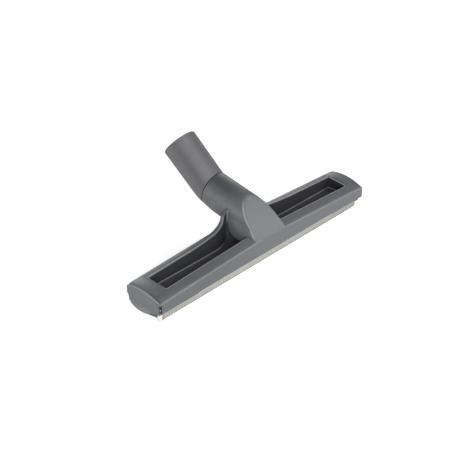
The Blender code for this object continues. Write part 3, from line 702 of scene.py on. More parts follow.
def neck_trim(y, turn):
    """How far the neck's underside is drawn in at y, so that it curves into the bend."""
    along = NECK_TRIM * share(*NECK_TRIM_Y, y) ** 2
    return along * smooth_step(*NECK_TRIM_TURNS, math.degrees(turn))


def tube_ring(y, tilt, radius):
    """A ring of the neck tube round its axis at y, in a plane that leans back by tilt."""
    up = Vector((0.0, -math.sin(tilt), math.cos(tilt))) / math.cos(NECK_TILT - tilt)
    half = [HOOD_FOOT_TURN * (1 - level) for level in spread(0.0, 1.0, HOOD_LEVELS)]
    half += spread(0.0, math.pi / 2, 31)[1:]
    right = []
    for turn in half:
        drawn = radius - neck_trim(y, turn)
        right.append((drawn * math.cos(turn), drawn * math.sin(turn)))
    points = right + [(-x, high) for x, high in reversed(right[:-1])]
    return [Vector((x, y, neck_z(y))) + up * high for x, high in points]


def neck_form():
    """Hood and neck in one: from the flat facet back to the chamfered end at the seam."""
    rings = [hood_ring(y) for y in spread(-HALF_DEPTH + 0.0006, 0.0235, 96)]
    for y in spread(0.0250, 0.0570, 20):
        rings.append(tube_ring(y, NECK_TILT * smooth_step(0.0240, 0.0420, y), NECK_RADIUS))
    end = SEAM_AT - NECK_AXIS * SEAM_GROOVE
    for back, radius in ((SEAM_CHAMFER, NECK_RADIUS), (0.0, NECK_RADIUS - SEAM_CHAMFER)):
        rings.append(tube_ring((end - NECK_AXIS * back).y, NECK_TILT, radius))
    return loft("hood_and_neck", rings)


def duct_form():
    """The way up through the hood, kept inside it by the wall."""
    places = spread(CHAMBER_FRONT_Y + 2 * GAP, DUCT_END_Y, 40)
    return loft("duct", [hood_ring(y, DUCT_WALL) for y in places])


def head_cutters():
    half = CHAMBER_HALF
    yield end_recess(-1)
    yield end_recess(1)
    yield box(
        "notch", (-HALF_LENGTH - PAST, -HALF_DEPTH - PAST, BELOW),
        (-HALF_LENGTH + NOTCH_LONG, NOTCH_BACK_Y, NOTCH_TOP_Z))
    yield box(
        "chamber", (-half, CHAMBER_FRONT_Y, BELOW), (half, CHAMBER_BACK_Y, CHAMBER_TOP_Z))
    yield duct_form()
    bore_start = Vector((0.0, BORE_START_Y, neck_z(BORE_START_Y)))
    yield rod("neck_bore", bore_start, SEAM_AT + NECK_AXIS * PAST, NECK_BORE_RADIUS)
    foot = SEAM_AT - NECK_AXIS * SLEEVE_DEPTH
    yield rod("sleeve", foot, SEAM_AT + NECK_AXIS * PAST, SLEEVE_RADIUS)
    left, right = -HALF_LENGTH - PAST, HALF_LENGTH - BLADE_STOP + GAP
    yield box(
        "blade_groove", (left, BLADE_Y - GROOVE_WIDTH / 2, BELOW),
        (right, BLADE_Y + GROOVE_WIDTH / 2, GROOVE_TOP_Z))
    yield rod(
        "bead_groove", (left, BLADE_Y, BLADE_BEAD_Z), (right, BLADE_Y, BLADE_BEAD_Z),
        BLADE_BEAD_RADIUS + GAP, 24)
    for low, high in ((-half, -REAR_HOLLOW_INNER_X), (REAR_HOLLOW_INNER_X, half)):
        yield box(
            "rear_hollow", (low, REAR_HOLLOW_FRONT_Y, BELOW),
            (high, REAR_HOLLOW_BACK_Y, REAR_HOLLOW_TOP_Z))


def head_shell():
    shell = loft("head_shell_skin", [head_ring(x, inset) for x, inset in head_stations()])
    face_outwards(shell, triangles=True)
    combine(shell, [pocket_cutter(-1), pocket_cutter(1)], "DIFFERENCE")
    combine(shell, [neck_form()], "UNION")
    combine(shell, list(head_cutters()), "DIFFERENCE")
    smooth_shade(shell)
    return shell


# Elbow


def elbow_foot_ring(count):
    """The elbow's section in the seam plane: a circle, with the leaning tube's top above it."""
    ring = []
    drop = -SEAM_FROM_BEND * math.tan(BEND)
    for angle in turn_steps(count):
        radius = ELBOW_FOOT_RADIUS - ELBOW_TRIM * smooth_step(0.3, -0.5, math.sin(angle))
        x, high = radius * math.cos(angle), radius * math.sin(angle)
        if high > 0:
            high = max(high, drop + high / math.cos(BEND))
        ring.append(SEAM_AT + SIDE * x + NECK_UP * high)
    return ring


def elbow_bend_rings(count, steps):
    """Rings from the seam round the bend: a ball outside, the straight tube inside."""
    start = elbow_foot_ring(count)
    reach = ELBOW_FOOT_RADIUS / 2
    end = circle(BEND_AT + ELBOW_AXIS * reach, SIDE, elbow_up(BEND), ELBOW_FOOT_RADIUS, count)
    rings = [start]
    for step in range(1, steps):
        t = step / steps
        ball = circle(BEND_AT, SIDE, elbow_up(BEND * min(1.0, t * 1.5)), ELBOW_FOOT_RADIUS, count)
        ring = []
        for i, angle in enumerate(turn_steps(count)):
            straight = start[i].lerp(end[i], t)
            if t > 2 / 3:
                ball[i] = ball[i] + ELBOW_AXIS * reach * (t - 2 / 3) * 3
            weight = smooth_step(0.0, 0.5, -math.sin(angle)) * BEND_FULLNESS
            ring.append(straight.lerp(ball[i], weight))
        rings.append(ring)
    return rings + [end]


def elbow_up(turn):
    return Matrix.Rotation(turn, 3, "X") @ NECK_UP


def elbow_outside(count):
    rings = elbow_bend_rings(count, 12)
    start, end = ELBOW_FOOT_RADIUS / 2, ELBOW_REACH - ELBOW_RIM_ROUND
    for t in spread(0.0, 1.0, 9)[1:]:
        radius = ELBOW_FOOT_RADIUS + (ELBOW_RIM_RADIUS - ELBOW_FOOT_RADIUS) * t
        centre = BEND_AT + ELBOW_AXIS * (start + (end - start) * t)
        rings.append(circle(centre, SIDE, elbow_up(BEND), radius, count))
    return rings


def elbow_inside(count):
    """Rings down the inside: rolled rim, wand socket and its stop, where the duct begins."""
    rim, mouth, up = ELBOW_REACH, ELBOW_RIM_RADIUS - ELBOW_RIM_WALL, elbow_up(BEND)
    line = []
    for angle in spread(math.radians(18), math.radians(90), 5):
        line.append((
            rim - ELBOW_RIM_ROUND * (1 - math.sin(angle)),
            ELBOW_RIM_RADIUS - ELBOW_RIM_ROUND * (1 - math.cos(angle))))
    for angle in spread(math.radians(90), 0.0, 6):
        line.append((
            rim - ELBOW_RIM_ROUND * (1 - math.sin(angle)),
            mouth + ELBOW_RIM_ROUND * (1 - math.cos(angle)) * 0.6))
    line += [(t, mouth - SOCKET_TAPER) for t in spread(rim - 0.010, rim - SOCKET_DEPTH, 5)]
    line += [(rim - SOCKET_DEPTH, DUCT_RADIUS + 0.0005), (rim - SOCKET_DEPTH - 0.0006, DUCT_RADIUS)]
    return [circle(BEND_AT + ELBOW_AXIS * t, SIDE, up, radius, count) for t, radius in line]


def elbow_duct(count):
    """Rings of the duct round the bend, down to the end of the spigot."""
    tangent = DUCT_BEND_RADIUS * math.tan(BEND / 2)
    centre = BEND_AT - NECK_AXIS * tangent + NECK_UP * DUCT_BEND_RADIUS
    rings = []
    for turn in spread(BEND, 0.0, 9):
        up = elbow_up(turn)
        rings.append(circle(centre - up * DUCT_BEND_RADIUS, SIDE, up, DUCT_RADIUS, count))
    return rings


def elbow_spigot(count):
    """Rings from the spigot's inner end back along its outside to the seam."""
    line = [
        (SPIGOT_LENGTH - 0.0005, DUCT_RADIUS), (SPIGOT_LENGTH, DUCT_RADIUS + 0.0005),
        (SPIGOT_LENGTH, SPIGOT_RADIUS - 0.0005), (SPIGOT_LENGTH - 0.0005, SPIGOT_RADIUS)]
    for start, width, deep in SPIGOT_GROOVES:
        line += [
            (start + width, SPIGOT_RADIUS), (start + width, SPIGOT_RADIUS - deep),
            (start, SPIGOT_RADIUS - deep), (start, SPIGOT_RADIUS)]
    line += [(0.0, SPIGOT_RADIUS), (0.0, ELBOW_FOOT_RADIUS - 0.0008)]
    return [circle(SEAM_AT - NECK_AXIS * t, SIDE, NECK_UP, radius, count) for t, radius in line]


def swivel_elbow():
    """Bent tube: rolled rim, wand socket, and the spigot that turns in the neck."""
    count = 96
    rings = elbow_outside(count) + elbow_inside(count) + elbow_duct(count) + elbow_spigot(count)
    faces = ring_faces(len(rings), count, closed=True)
    elbow = mesh_piece("swivel_elbow_skin", [point for ring in rings for point in ring], faces)
    face_outwards(elbow)
    smooth_shade(elbow, 40.0)
    return elbow


# Front blade


def rib_height(x, left, right):
    """How far the blade's face stands out at x."""
    first, last = left + BLADE_PLAIN_END, right - BLADE_PLAIN_END
    if not first < x < last:
        return 0.0
    along = (x - first) % RIB_PITCH - RIB_PITCH / 2
    return RIB_DEPTH * (1 - smooth_step(RIB_WIDTH / 2 - 0.0004, RIB_WIDTH / 2 + 0.0002, abs(along)))


def blade_line(x, left, right):
    """The blade's section at x, from its tip up the front, over the bead and down the back."""
    foot = 0.0
    if x > right - BLADE_CORNER:
        into = x - right + BLADE_CORNER
        foot = BLADE_CORNER - math.sqrt(max(0.0, BLADE_CORNER ** 2 - into ** 2))
    out = rib_height(x, left, right)
    line = [(BLADE_FRONT_Y + BLADE_EDGE, foot), (BLADE_FRONT_Y, foot + BLADE_EDGE)]
    rib = (
        (RIB_LOW_Z, 0.0), (RIB_LOW_Z + 0.0004, 1.0), (RIB_HIGH_Z - 0.0012, 0.8), (RIB_HIGH_Z, 0.0))
    for z, part in rib:
        line.append((BLADE_FRONT_Y - out * part, max(z, foot + 0.0005)))
    for angle in spread(math.radians(225), math.radians(-45), 12):
        line.append((
            BLADE_Y + BLADE_BEAD_RADIUS * math.cos(angle),
            BLADE_BEAD_Z + BLADE_BEAD_RADIUS * math.sin(angle)))
    line += [(BLADE_BACK_Y, 0.0110), (BLADE_BACK_Y, foot + BLADE_EDGE), (BLADE_BACK_Y - BLADE_EDGE, foot)]
    return [(x, y, z) for y, z in line]


def front_blade():
    """Ribbed rubber strip, rounded at its free corner, with a bead along its top; cut low at its
    open end, where only the bead's core shows over it."""
    left, right = -HALF_LENGTH + GAP, HALF_LENGTH - BLADE_STOP
    places = [left + BLADE_LOW_END, left + BLADE_LOW_END + 0.0002]
    count = int((right - left - 2 * BLADE_PLAIN_END) / RIB_PITCH)
    for i in range(count):
        middle = left + BLADE_PLAIN_END + (i + 0.5) * RIB_PITCH
        places += [middle + part * RIB_PITCH for part in RIB_CUTS]
    places = [x for i, x in enumerate(places) if i < 2 or x > places[1] + 0.0001]
    places += spread(places[-1] + 0.0006, right - BLADE_CORNER, 4)
    places += [right - BLADE_CORNER * (1 - math.sin(a)) for a in spread(0.15, math.pi / 2, 8)]
    blade = loft("front_blade_ribbed", [blade_line(x, left, right) for x in places])
    core = Vector((left + BLADE_CORE_BACK, BLADE_Y, BLADE_CORE_Z))
    low_end = left + BLADE_LOW_END + GAP
    others = [
        box("low_end", (left, BLADE_FRONT_Y, 0.0), (low_end, BLADE_BACK_Y, BLADE_LOW_Z)),
        rod("core", core, core + SIDE * BLADE_LOW_END, BLADE_CORE_RADIUS, 20)]
    combine(blade, others, "UNION")
    smooth_shade(blade, 50.0)
    return blade


# Materials


class Wire:
    """A node's output that can be used in Python arithmetic."""

    def __init__(self, nodes, socket):
        self.nodes = nodes
        self.socket = socket

    def maths(self, operation, *others):
        return self.nodes.maths(operation, self, *others)

    def __add__(self, other):
        return self.maths("ADD", other)

    def __radd__(self, other):
        return self.nodes.maths("ADD", other, self)

    def __sub__(self, other):
        return self.maths("SUBTRACT", other)

    def __rsub__(self, other):
        return self.nodes.maths("SUBTRACT", other, self)

    def __mul__(self, other):
        return self.maths("MULTIPLY", other)

    def __rmul__(self, other):
        return self.nodes.maths("MULTIPLY", other, self)

    def __truediv__(self, other):
        return self.maths("DIVIDE", other)

    def __pow__(self, other):
        return self.maths("POWER", other)

    def __abs__(self):
        return self.maths("ABSOLUTE")


class Nodes:
    """A node tree, whose nodes are made from expressions."""

    def __init__(self, tree):
        self.tree = tree

    def node(self, kind, settings=None, sockets=(), output=0):
        """Adds a node: its settings first, then its sockets, given in order or by name or place."""
        made = self.tree.nodes.new(kind)
        for key, value in (settings or {}).items():
            if key == "stops":
                set_stops(made.color_ramp, value)
            else:
                setattr(made, key, value)
        for key, value in sockets.items() if isinstance(sockets, dict) else enumerate(sockets):
            self.feed(made.inputs[key], value)
        return Wire(self, made.outputs[output]) if made.outputs else None

    def feed(self, socket, value):
        if isinstance(value, Wire):
            self.tree.links.new(value.socket, socket)
        else:
            socket.default_value = value

    def maths(self, operation, *values):
        return self.node("ShaderNodeMath", {"operation": operation}, values)


def set_stops(ramp, stops):
    while len(ramp.elements) < len(stops):
        ramp.elements.new(0.5)
    for element, (position, level) in zip(ramp.elements, stops):
        element.position = position
        element.color = (level, level, level, 1.0)


class Paint(Nodes):
    """A material: its own nodes, and the shader that they feed."""

    def __init__(self, name):
        self.material = bpy.data.materials.new(name)
        self.material.use_nodes = True
        super().__init__(self.material.node_tree)
        self.shader = self.tree.nodes["Principled BSDF"]
        self.place = self.node("ShaderNodeTexCoord", output="Object")

    def drawn_axes(self):
        """x, y and z over the surface, as the drawing measures them."""
        x, y, z = (self.node("ShaderNodeSeparateXYZ", {}, (self.place,), axis) for axis in "XYZ")
        return x, y - DRAWN_TO_FRAME.y, z

    def noise(self, scale, detail=2.0, stretch=None):
        place = self.place
        if stretch:
            place = self.node("ShaderNodeVectorMath", {"operation": "MULTIPLY"}, (place, stretch))
        return self.node(
            "ShaderNodeTexNoise", {}, {"Vector": place, "Scale": scale, "Detail": detail})

    def ramp(self, value, *stops):
        return self.node("ShaderNodeValToRGB", {"stops": stops}, (value,))

    def step(self, value, low, high):
        """0 at low and beyond, rising to 1 at high."""
        return self.node("ShaderNodeMapRange", {}, (value, low, high, 0.0, 1.0))

    def between(self, mask, first, second):
        """A colour between two, each a wire or its red, green and blue."""
        first, second = (
            colour if isinstance(colour, Wire) else (*colour, 1.0) for colour in (first, second))
        return self.node("ShaderNodeMix", {"data_type": "RGBA"}, {0: mask, 6: first, 7: second}, 2)

    def layered(self, base, *layers):
        """The base colour with others laid over it in turn, each by its mask."""
        for mask, colour in layers:
            base = self.between(mask, base, colour)
        return base

    def colour(self, value):
        self.feed(self.shader.inputs["Base Color"], value)

    def roughness(self, value):
        self.feed(self.shader.inputs["Roughness"], value)

    def bump(self, height, strength, distance):
        sockets = {"Strength": strength, "Distance": distance, "Height": height}
        self.feed(self.shader.inputs["Normal"], self.node("ShaderNodeBump", {}, sockets))

    def put_on(self, piece):
        piece.data.materials.clear()
        piece.data.materials.append(self.material)


def hood_masks(paint, x, y, z):
    """Masks for all that lies beside the hood's flanks, and for their tucked-in lower sides."""
    neck_height = BEND_AT.z - HOOD_BASE_Z + (y - BEND_AT.y) * math.tan(NECK_TILT)
    down = (1.0 - (z - HOOD_BASE_Z) / neck_height).maths("MAXIMUM", 0.0)
    flare = (down * down + HOOD_EASE ** 2).maths("SQRT") - HOOD_EASE
    flare = flare / (math.hypot(1, HOOD_EASE) - HOOD_EASE)
    lean = paint.step(z, *HOOD_LEAN_Z) * paint.step(y, *HOOD_LEAN_Y) * paint.step(x, 0.0, HOOD_LEAN_X)
    half = NECK_RADIUS + (HOOD_FOOT_HALF - NECK_RADIUS) * flare + HOOD_LEAN * lean
    beside = paint.step(abs(x) - half, 0.0004, 0.0009)
    behind = (y - HOOD_BELLY[0]).maths("MAXIMUM", 0.0) / HOOD_BELLY_HALF[0]
    under = (HOOD_BELLY[1] - z).maths("MAXIMUM", 0.0) / HOOD_BELLY_HALF[1]
    tucked = paint.step(behind * behind + under * under, 0.99, 1.05) * paint.step(z, *TUCK_TOP_Z)
    return beside, tucked * paint.step(y, POCKET_FRONT_Y, POCKET_FRONT_Y + 0.0008)


def pocket_masks(paint):
    """Masks for the pockets: all their inside, their upright walls, the hollow under the hood, the
    crease at the floor, the rolled rim, its back side, and the line behind it. They carry painted
    light on the floors, painted shade on the walls, hollow and line, and painted highlights on crease and
    rim."""
    x, y, z = paint.drawn_axes()
    reach = abs(x)
    low = POCKET_SWEEP_LOW * paint.step(reach, SWEEP_LOW_X, SWEEP_END_X) ** SWEEP_LOW_CURVE
    high = POCKET_SWEEP_HIGH * paint.step(reach, SWEEP_HIGH_X, SWEEP_END_X) ** SWEEP_HIGH_CURVE
    wall = POCKET_BACK_Y + low + (high - low) * paint.step(z, POCKET_FLOOR_Z, TOP_MID_Z)
    deeper = 0.0005 + 0.0011 * paint.step(z, *POCKET_HIGH_Z)
    back = wall + deeper * paint.step(reach, *BY_HOOD_X)
    beside, tucked = hood_masks(paint, x, y, z)
    above_floor = z - POCKET_FLOOR_Z
    clear = paint.step(above_floor, -0.0008, -0.0002) * beside.maths("MAXIMUM", tucked)
    along = (reach - POCKET_OUTER_X + POCKET_FRONT_CORNER).maths("MAXIMUM", 0.0)
    across = (POCKET_FRONT_Y + POCKET_FRONT_CORNER - y).maths("MAXIMUM", 0.0)
    beyond = (along * along + across * across).maths("SQRT") - POCKET_FRONT_CORNER

    def reaching(more, behind):
        """The pocket's plan, grown by more in front and at its end, and by behind at its back."""
        in_plan = paint.step(beyond, 0.0003 + more, more)
        return clear * in_plan * paint.step(y - back, 0.0003 + behind, behind)

    inside = reaching(0.0001, 0.0001)
    at_back = paint.step(y - wall, -0.0012, -0.0004)
    at_end = paint.step(reach, POCKET_OUTER_X - 0.0012, POCKET_OUTER_X - 0.0004)
    walls = paint.step(above_floor, 0.0008, 0.0014) * paint.step(reach, *POCKET_WALL_X)
    crease = at_back.maths("MAXIMUM", at_end) * paint.step(above_floor, 0.0012, 0.0006)
    crease = crease * paint.step(reach, *POCKET_CREASE_X)
    rim = (reaching(POCKET_RIM, 0.0022) - inside) * paint.step(reach, *FROM_HOOD_X)
    line = reaching(0.0030, 0.0070) - reaching(POCKET_RIM, 0.0026)
    line = line * paint.step(y + 0.056 * x, -0.0030, 0.0010) * paint.step(reach, *POCKET_LINE_X)
    return inside, inside * walls, inside * tucked, inside * crease, rim, rim * at_back, line


def end_masks(paint):
    """A mask for painted shade on the shell's ends: in the hollow round the cap, and in the cut-back
    corner.
    """
    x, y, z = paint.drawn_axes()
    t = y / HALF_DEPTH
    inwards = HALF_LENGTH - abs(x)
    under = TOP_MID_Z - END_DROP - RIM_WIDE + TOP_TILT * t - TOP_BOW * t * t - z
    hollow = paint.step(inwards, RECESS_DEEP + 0.0004, RECESS_DEEP + 0.0001)
    hollow = hollow * paint.step(inwards, 0.0002, 0.0005)
    hollow = hollow * paint.step(under, -0.0004, 0.0) * paint.step(y, NOTCH_BACK_Y - 0.0003, NOTCH_BACK_Y)
    notch = paint.step(x, NOTCH_LONG - HALF_LENGTH + 0.0003, NOTCH_LONG - HALF_LENGTH)
    notch = notch * paint.step(y, NOTCH_BACK_Y + 0.0004, NOTCH_BACK_Y + 0.0001)
    notch = notch * paint.step(z, NOTCH_TOP_Z + 0.0003, NOTCH_TOP_Z)
    return hollow.maths("MAXIMUM", notch)


def edge_masks(paint):
    """Masks for painted light: the front face, lighter to the right, painted highlights on the ridge over
    it and each end's rim, and painted shade on the roll before the left one.
    """
    x, y, z = paint.drawn_axes()
    reach, behind = abs(x), y + HALF_DEPTH
    inwards = HALF_LENGTH - reach
    face = paint.step(behind, 0.0008, 0.0002) * (0.16 + 0.74 * paint.step(x, *FACE_LIGHT_X))
    above = z - (TOP_MID_Z - TOP_TILT - TOP_BOW) - CAMBER_SLOPE * inwards
    ridge = paint.step(behind, 0.0020, 0.0010) * paint.step(above, -0.0020, -0.0010)
    ridge = ridge * paint.step(reach - 0.13 * x, 0.0200, 0.0280)
    over = paint.step(z, *OVER_END_Z) * paint.step(behind, 0.0016, 0.0026)
    rim = paint.step(inwards, 0.0012, 0.0009) * over
    roll = paint.step(inwards, 0.0050, 0.0022) * over - rim
    return face, ridge, rim, roll * paint.step(x, *ROLL_X)


def top_shade_and_highlight(paint):
    """Painted shade on the top's front and rear strips and on the hood's low cheeks, and a painted
    highlight on the top towards the back at both ends: masks and colours.
    """
    x, y, z = paint.drawn_axes()
    reach, top = abs(x), paint.step(z, *TOP_TONE_Z)
    front = top * paint.step(y, POCKET_FRONT_Y, POCKET_FRONT_Y - 0.0014) * paint.step(x, *STRIP_DARK_X)
    corner = top * paint.step(y, *CORNER_Y) * paint.step(reach, *CORNER_X)
    cheek = paint.step(y, *CHEEK_Y) * paint.step(reach, *CHEEK_X) * paint.step(z, *CHEEK_Z)
    rear = top * paint.step(y, *REAR_Y) * paint.step(x, *REAR_DARK_X) * paint.step(x, *REAR_LIGHT_X)
    dark, light = (0.070, 0.072, 0.077), (0.260, 0.268, 0.286)
    return (front * 0.25, dark), (corner * 0.80, light), (cheek * 0.50, dark), (rear * 0.42, dark)


def facet_masks(paint):
    """Masks for darkening the hood's flat facet towards its top, and for a painted highlight on its
    rounded left edge.
    """
    x, y, z = paint.drawn_axes()
    under = ((y - FACET_FOOT_Y) * math.tan(FACET_TILT) + FACET_FOOT_Z - z) * math.cos(FACET_TILT)
    flat = paint.step(under, 0.0006, 0.0002) * paint.step(z, *FACET_DARK_Z)
    edge = paint.step(under, 0.0001, 0.0004) * paint.step(under, 0.0022, 0.0013)
    edge = edge * paint.step(x, *FACET_EDGE_X) * paint.step(z, *FACET_EDGE_Z)
    return flat, edge * paint.step(y, *FACET_EDGE_Y)


def reflection_bands(paint, up, *stops):
    """Painted reflections as lengthwise light and dark bands round a tube, from pairs of degrees from its
    upper side and a level.
    """
    x, y, z = paint.drawn_axes()
    turn = x.maths("ARCTAN2", (y - BEND_AT.y) * up.y + (z - BEND_AT.z) * up.z)
    return paint.ramp(turn / math.tau + 0.5, *((angle / 360 + 0.5, level) for angle, level in stops))


def neck_layer(paint):
    """The neck's painted reflections as lengthwise bands, and its blotches: where they show, and their
    colour.
    """
    y, z = paint.drawn_axes()[1:]
    # Painted reflections as lengthwise light and dark bands round the neck.
    reflection_band = reflection_bands(
        paint, NECK_UP, (-150, 0.25), (-124, 0.80), (-108, 0.49), (-92, 0.28), (-68, 0.22), (-52, 0.19),
        (-40, 0.11), (-26, 0.0), (-14, 0.05), (-4, 0.21), (6, 0.52), (18, 1.0), (50, 0.25))
    blotch = paint.ramp(paint.noise(150.0, 3.0), (0.38, 0.0), (0.64, 1.0))
    tone = paint.between(reflection_band, (0.088, 0.090, 0.100), (0.360, 0.362, 0.372))
    tone = paint.between(blotch * 0.32, tone, (0.085, 0.086, 0.094))
    return paint.step(y, *NECK_TONE_Y) * paint.step(z, *NECK_TONE_Z), tone


def shell_plastic():
    """Cool grey moulding: fine spark-eroded grain, mottling, darker inside the pockets with painted shade
    on their walls and painted light on their floors, and painted highlights, shade and reflections
    elsewhere.
    """
    paint = Paint("grey_moulded_plastic")
    base = paint.between(paint.noise(38.0, 3.0), (0.128, 0.136, 0.148), (0.148, 0.157, 0.170))
    cloud = paint.ramp(paint.noise(9.0, 2.0), (0.35, 0.0), (0.7, 1.0))
    face, ridge, end_rim, roll = edge_masks(paint)
    flat, edge = facet_masks(paint)
    inside, walls, tucked, crease, rim, back_rim, line = pocket_masks(paint)
    paint.colour(paint.layered(
        base,
        (cloud * 0.35, (0.164, 0.165, 0.176)),
        # Painted light: the front face lighter, more so towards the right.
        (face, (0.185, 0.192, 0.204)),
        # Painted highlight along the front ridge.
        (ridge * 0.6, (0.220, 0.232, 0.246)),
        # Painted highlight on each end's rim.
        (end_rim * 0.9, (0.340, 0.345, 0.360)),
        # Painted shade on the roll before the left end's rim.
        (roll * 0.6, (0.062, 0.068, 0.074)),
        # Painted shade on the top's strips and the hood's cheeks, painted highlight at the ends' back
        # corners.
        *top_shade_and_highlight(paint),
        # The facet darker towards its top.
        (flat * 0.35, (0.075, 0.082, 0.084)),
        # Painted highlight on the facet's rounded left edge.
        (edge * 0.85, (0.340, 0.352, 0.360)),
        # Painted reflections on the neck as lengthwise bands, with random blotches.
        neck_layer(paint),
        # Painted shade: a dark line behind each pocket's rolled rim.
        (line * 0.9, (0.034, 0.035, 0.040)),
        # Painted highlights on the pockets' rolled rims, softer on their back side.
        (rim * 0.9, (0.330, 0.338, 0.350)),
        (back_rim * 0.8, (0.225, 0.230, 0.242)),
        # Painted light on the pocket floors, which lie in shade.
        (inside, (0.420, 0.426, 0.465)),
        # Painted shade in the hollow under the hood's cheeks.
        (tucked, (0.080, 0.076, 0.089)),
        # Painted shade on the pockets' upright walls.
        (walls, (0.018, 0.019, 0.023)),
        # Painted highlight along the crease at the pockets' floors.
        (crease, (0.230, 0.235, 0.245)),
        # Painted shade in the hollow round each end cap and in the cut-back corner.
        (end_masks(paint) * 0.9, (0.022, 0.022, 0.030))))
    paint.roughness(0.40 + 0.12 * paint.noise(120.0) + 0.45 * inside)
    paint.bump(paint.noise(2600.0) * 0.7 + paint.noise(900.0) * 0.3, 0.18, 0.0002)
    return paint


def cap_plastic():
    """The ends' caps: a paler run of the same grey, streaked, with painted light on the foot and painted
    shade on the foot's front.
    """
    paint = Paint("grey_cap_plastic")
    x, y, z = paint.drawn_axes()
    low = paint.step(z, *CAP_FOOT_Z)
    streak = paint.noise(160.0, 3.0, (1.0, 1.0, 0.2))
    paint.colour(paint.layered(
        (0.168, 0.172, 0.184),
        (streak, (0.196, 0.200, 0.210)),
        # Painted light on the cap's foot.
        (low * 0.6, (0.262, 0.266, 0.278)),
        # Painted shade on the foot's front, where the gap under the cap lies.
        (low * paint.step(y, *CAP_FRONT_Y) * 0.6, (0.090, 0.092, 0.100))))
    paint.roughness(0.42 + 0.10 * paint.noise(140.0))
    paint.bump(paint.noise(2400.0), 0.18, 0.0002)
    return paint


def tube_plastic():
    """Neutral grey tube with painted reflections as soft lengthwise bands, faint blotches and a finer
    grain.
    """
    paint = Paint("grey_tube_plastic")
    # Painted reflections as lengthwise light and dark bands round the elbow.
    reflection_band = reflection_bands(
        paint, elbow_up(BEND), (-150, 0.45), (-124, 0.78), (-108, 0.80), (-92, 0.55), (-84, 0.40),
        (-68, 0.17), (-58, 0.22), (-44, 0.45), (-28, 0.75), (-20, 0.85), (-10, 0.55), (4, 0.30),
        (12, 0.45), (22, 0.85), (50, 0.45))
    base = paint.between(reflection_band, (0.092, 0.093, 0.098), (0.236, 0.238, 0.244))
    blotch = paint.ramp(paint.noise(110.0, 3.0), (0.40, 0.0), (0.66, 1.0))
    paint.colour(paint.between(blotch * 0.12, base, (0.090, 0.091, 0.096)))
    paint.roughness(0.38 + 0.12 * paint.noise(90.0))
    paint.bump(paint.noise(2600.0) * 0.7 + paint.noise(800.0) * 0.3, 0.15, 0.0002)
    return paint


def frame_plastic():
    """Darker grey lower frame, matte and slightly scuffed along its low side."""
    paint = Paint("dark_frame_plastic")
    x, y, z = paint.drawn_axes()
    base = paint.between(paint.noise(45.0, 3.0), (0.112, 0.116, 0.124), (0.138, 0.143, 0.152))
    scuffs = paint.ramp(paint.noise(260.0, 4.0, (0.12, 1.0, 1.0)), (0.55, 0.0), (0.72, 1.0))
    scuffs = scuffs * paint.step(z, *SCUFFS_Z)
    paint.colour(paint.between(scuffs * 0.5, base, (0.20, 0.20, 0.21)))
    paint.roughness(0.46 + 0.14 * paint.noise(140.0))
    paint.bump(paint.noise(2200.0), 0.15, 0.0002)
    return paint


def ivory_rubber(name, tone):
    """Matte ivory rubber, a little yellowed and dusty: the paint and its colour so far."""
    paint = Paint(name)
    dust = paint.ramp(paint.noise(420.0, 3.0), (0.45, 0.0), (0.75, 1.0))
    warm, light = (
        tuple(level * tone for level in colour) for colour in ((0.43, 0.43, 0.40), (0.50, 0.50, 0.47)))
    base = paint.between(paint.noise(26.0, 3.0), warm, light)
    paint.roughness(0.56 + 0.14 * paint.noise(200.0))
    paint.bump(paint.noise(1500.0), 0.10, 0.0002)
    return paint, paint.between(dust * 0.18, base, (0.30, 0.30, 0.28))


def ribbed_rubber():
    """The front blade's rubber: painted shade between the ribs, duller far out, near white where it is
    cut low.
    """
    paint, base = ivory_rubber("ivory_rubber", 1.0)
    x, y, z = paint.drawn_axes()
    first = BLADE_PLAIN_END - HALF_LENGTH + GAP
    from_rib = ((x - first) / RIB_PITCH + 0.5).maths("PINGPONG", 0.5)
    shade_between_ribs = paint.step(from_rib, 0.22, 0.12) * paint.step(z, RIB_HIGH_Z, RIB_HIGH_Z - 0.0015)
    paint.colour(paint.layered(
        base,
        # Painted shade between the ribs.
        (shade_between_ribs * paint.step(x, first, first + 0.0010) * 0.45, (0.20, 0.20, 0.18)),
        (paint.step(abs(x), *BLADE_DULL_X) * 0.12, (0.02, 0.02, 0.02)),
        (paint.step(x, first, first - 0.0015) * 0.85, (0.90, 0.865, 0.84))))
    return paint


def plain_rubber():
    """The rear blade's rubber, a shade darker."""
    paint, base = ivory_rubber("ivory_rear_rubber", 0.95)
    paint.colour(base)
    return paint


def seal_rubber():
    """Black rubber with a dull bloom."""
    paint = Paint("black_seal_rubber")
    bloom = paint.ramp(paint.noise(300.0, 3.0), (0.5, 0.0), (0.8, 1.0))
    paint.colour(paint.between(bloom, (0.018, 0.018, 0.019), (0.045, 0.045, 0.046)))
    paint.roughness(0.44 + 0.2 * bloom)
    paint.bump(paint.noise(1800.0), 0.12, 0.0001)
    return paint


def ring_plastic():
    """Uncoloured slippery plastic, slightly cloudy."""
    paint = Paint("natural_ring_plastic")
    paint.colour(paint.between(paint.noise(70.0), (0.52, 0.50, 0.45), (0.62, 0.60, 0.55)))
    paint.roughness(0.34 + 0.12 * paint.noise(200.0))
    paint.bump(paint.noise(900.0), 0.06, 0.0001)
    return paint


def screw_steel():
    """Plain steel with turning marks round the screw's axis."""
    paint = Paint("screw_steel")
    paint.shader.inputs["Metallic"].default_value = 1.0
    marks = paint.noise(2400.0, 2.0, (1.0, 1.0, 0.1))
    paint.colour(paint.between(marks, (0.50, 0.50, 0.51), (0.66, 0.65, 0.64)))
    paint.roughness(0.26 + 0.18 * marks)
    paint.bump(marks, 0.08, 0.0001)
    return paint


# Scene


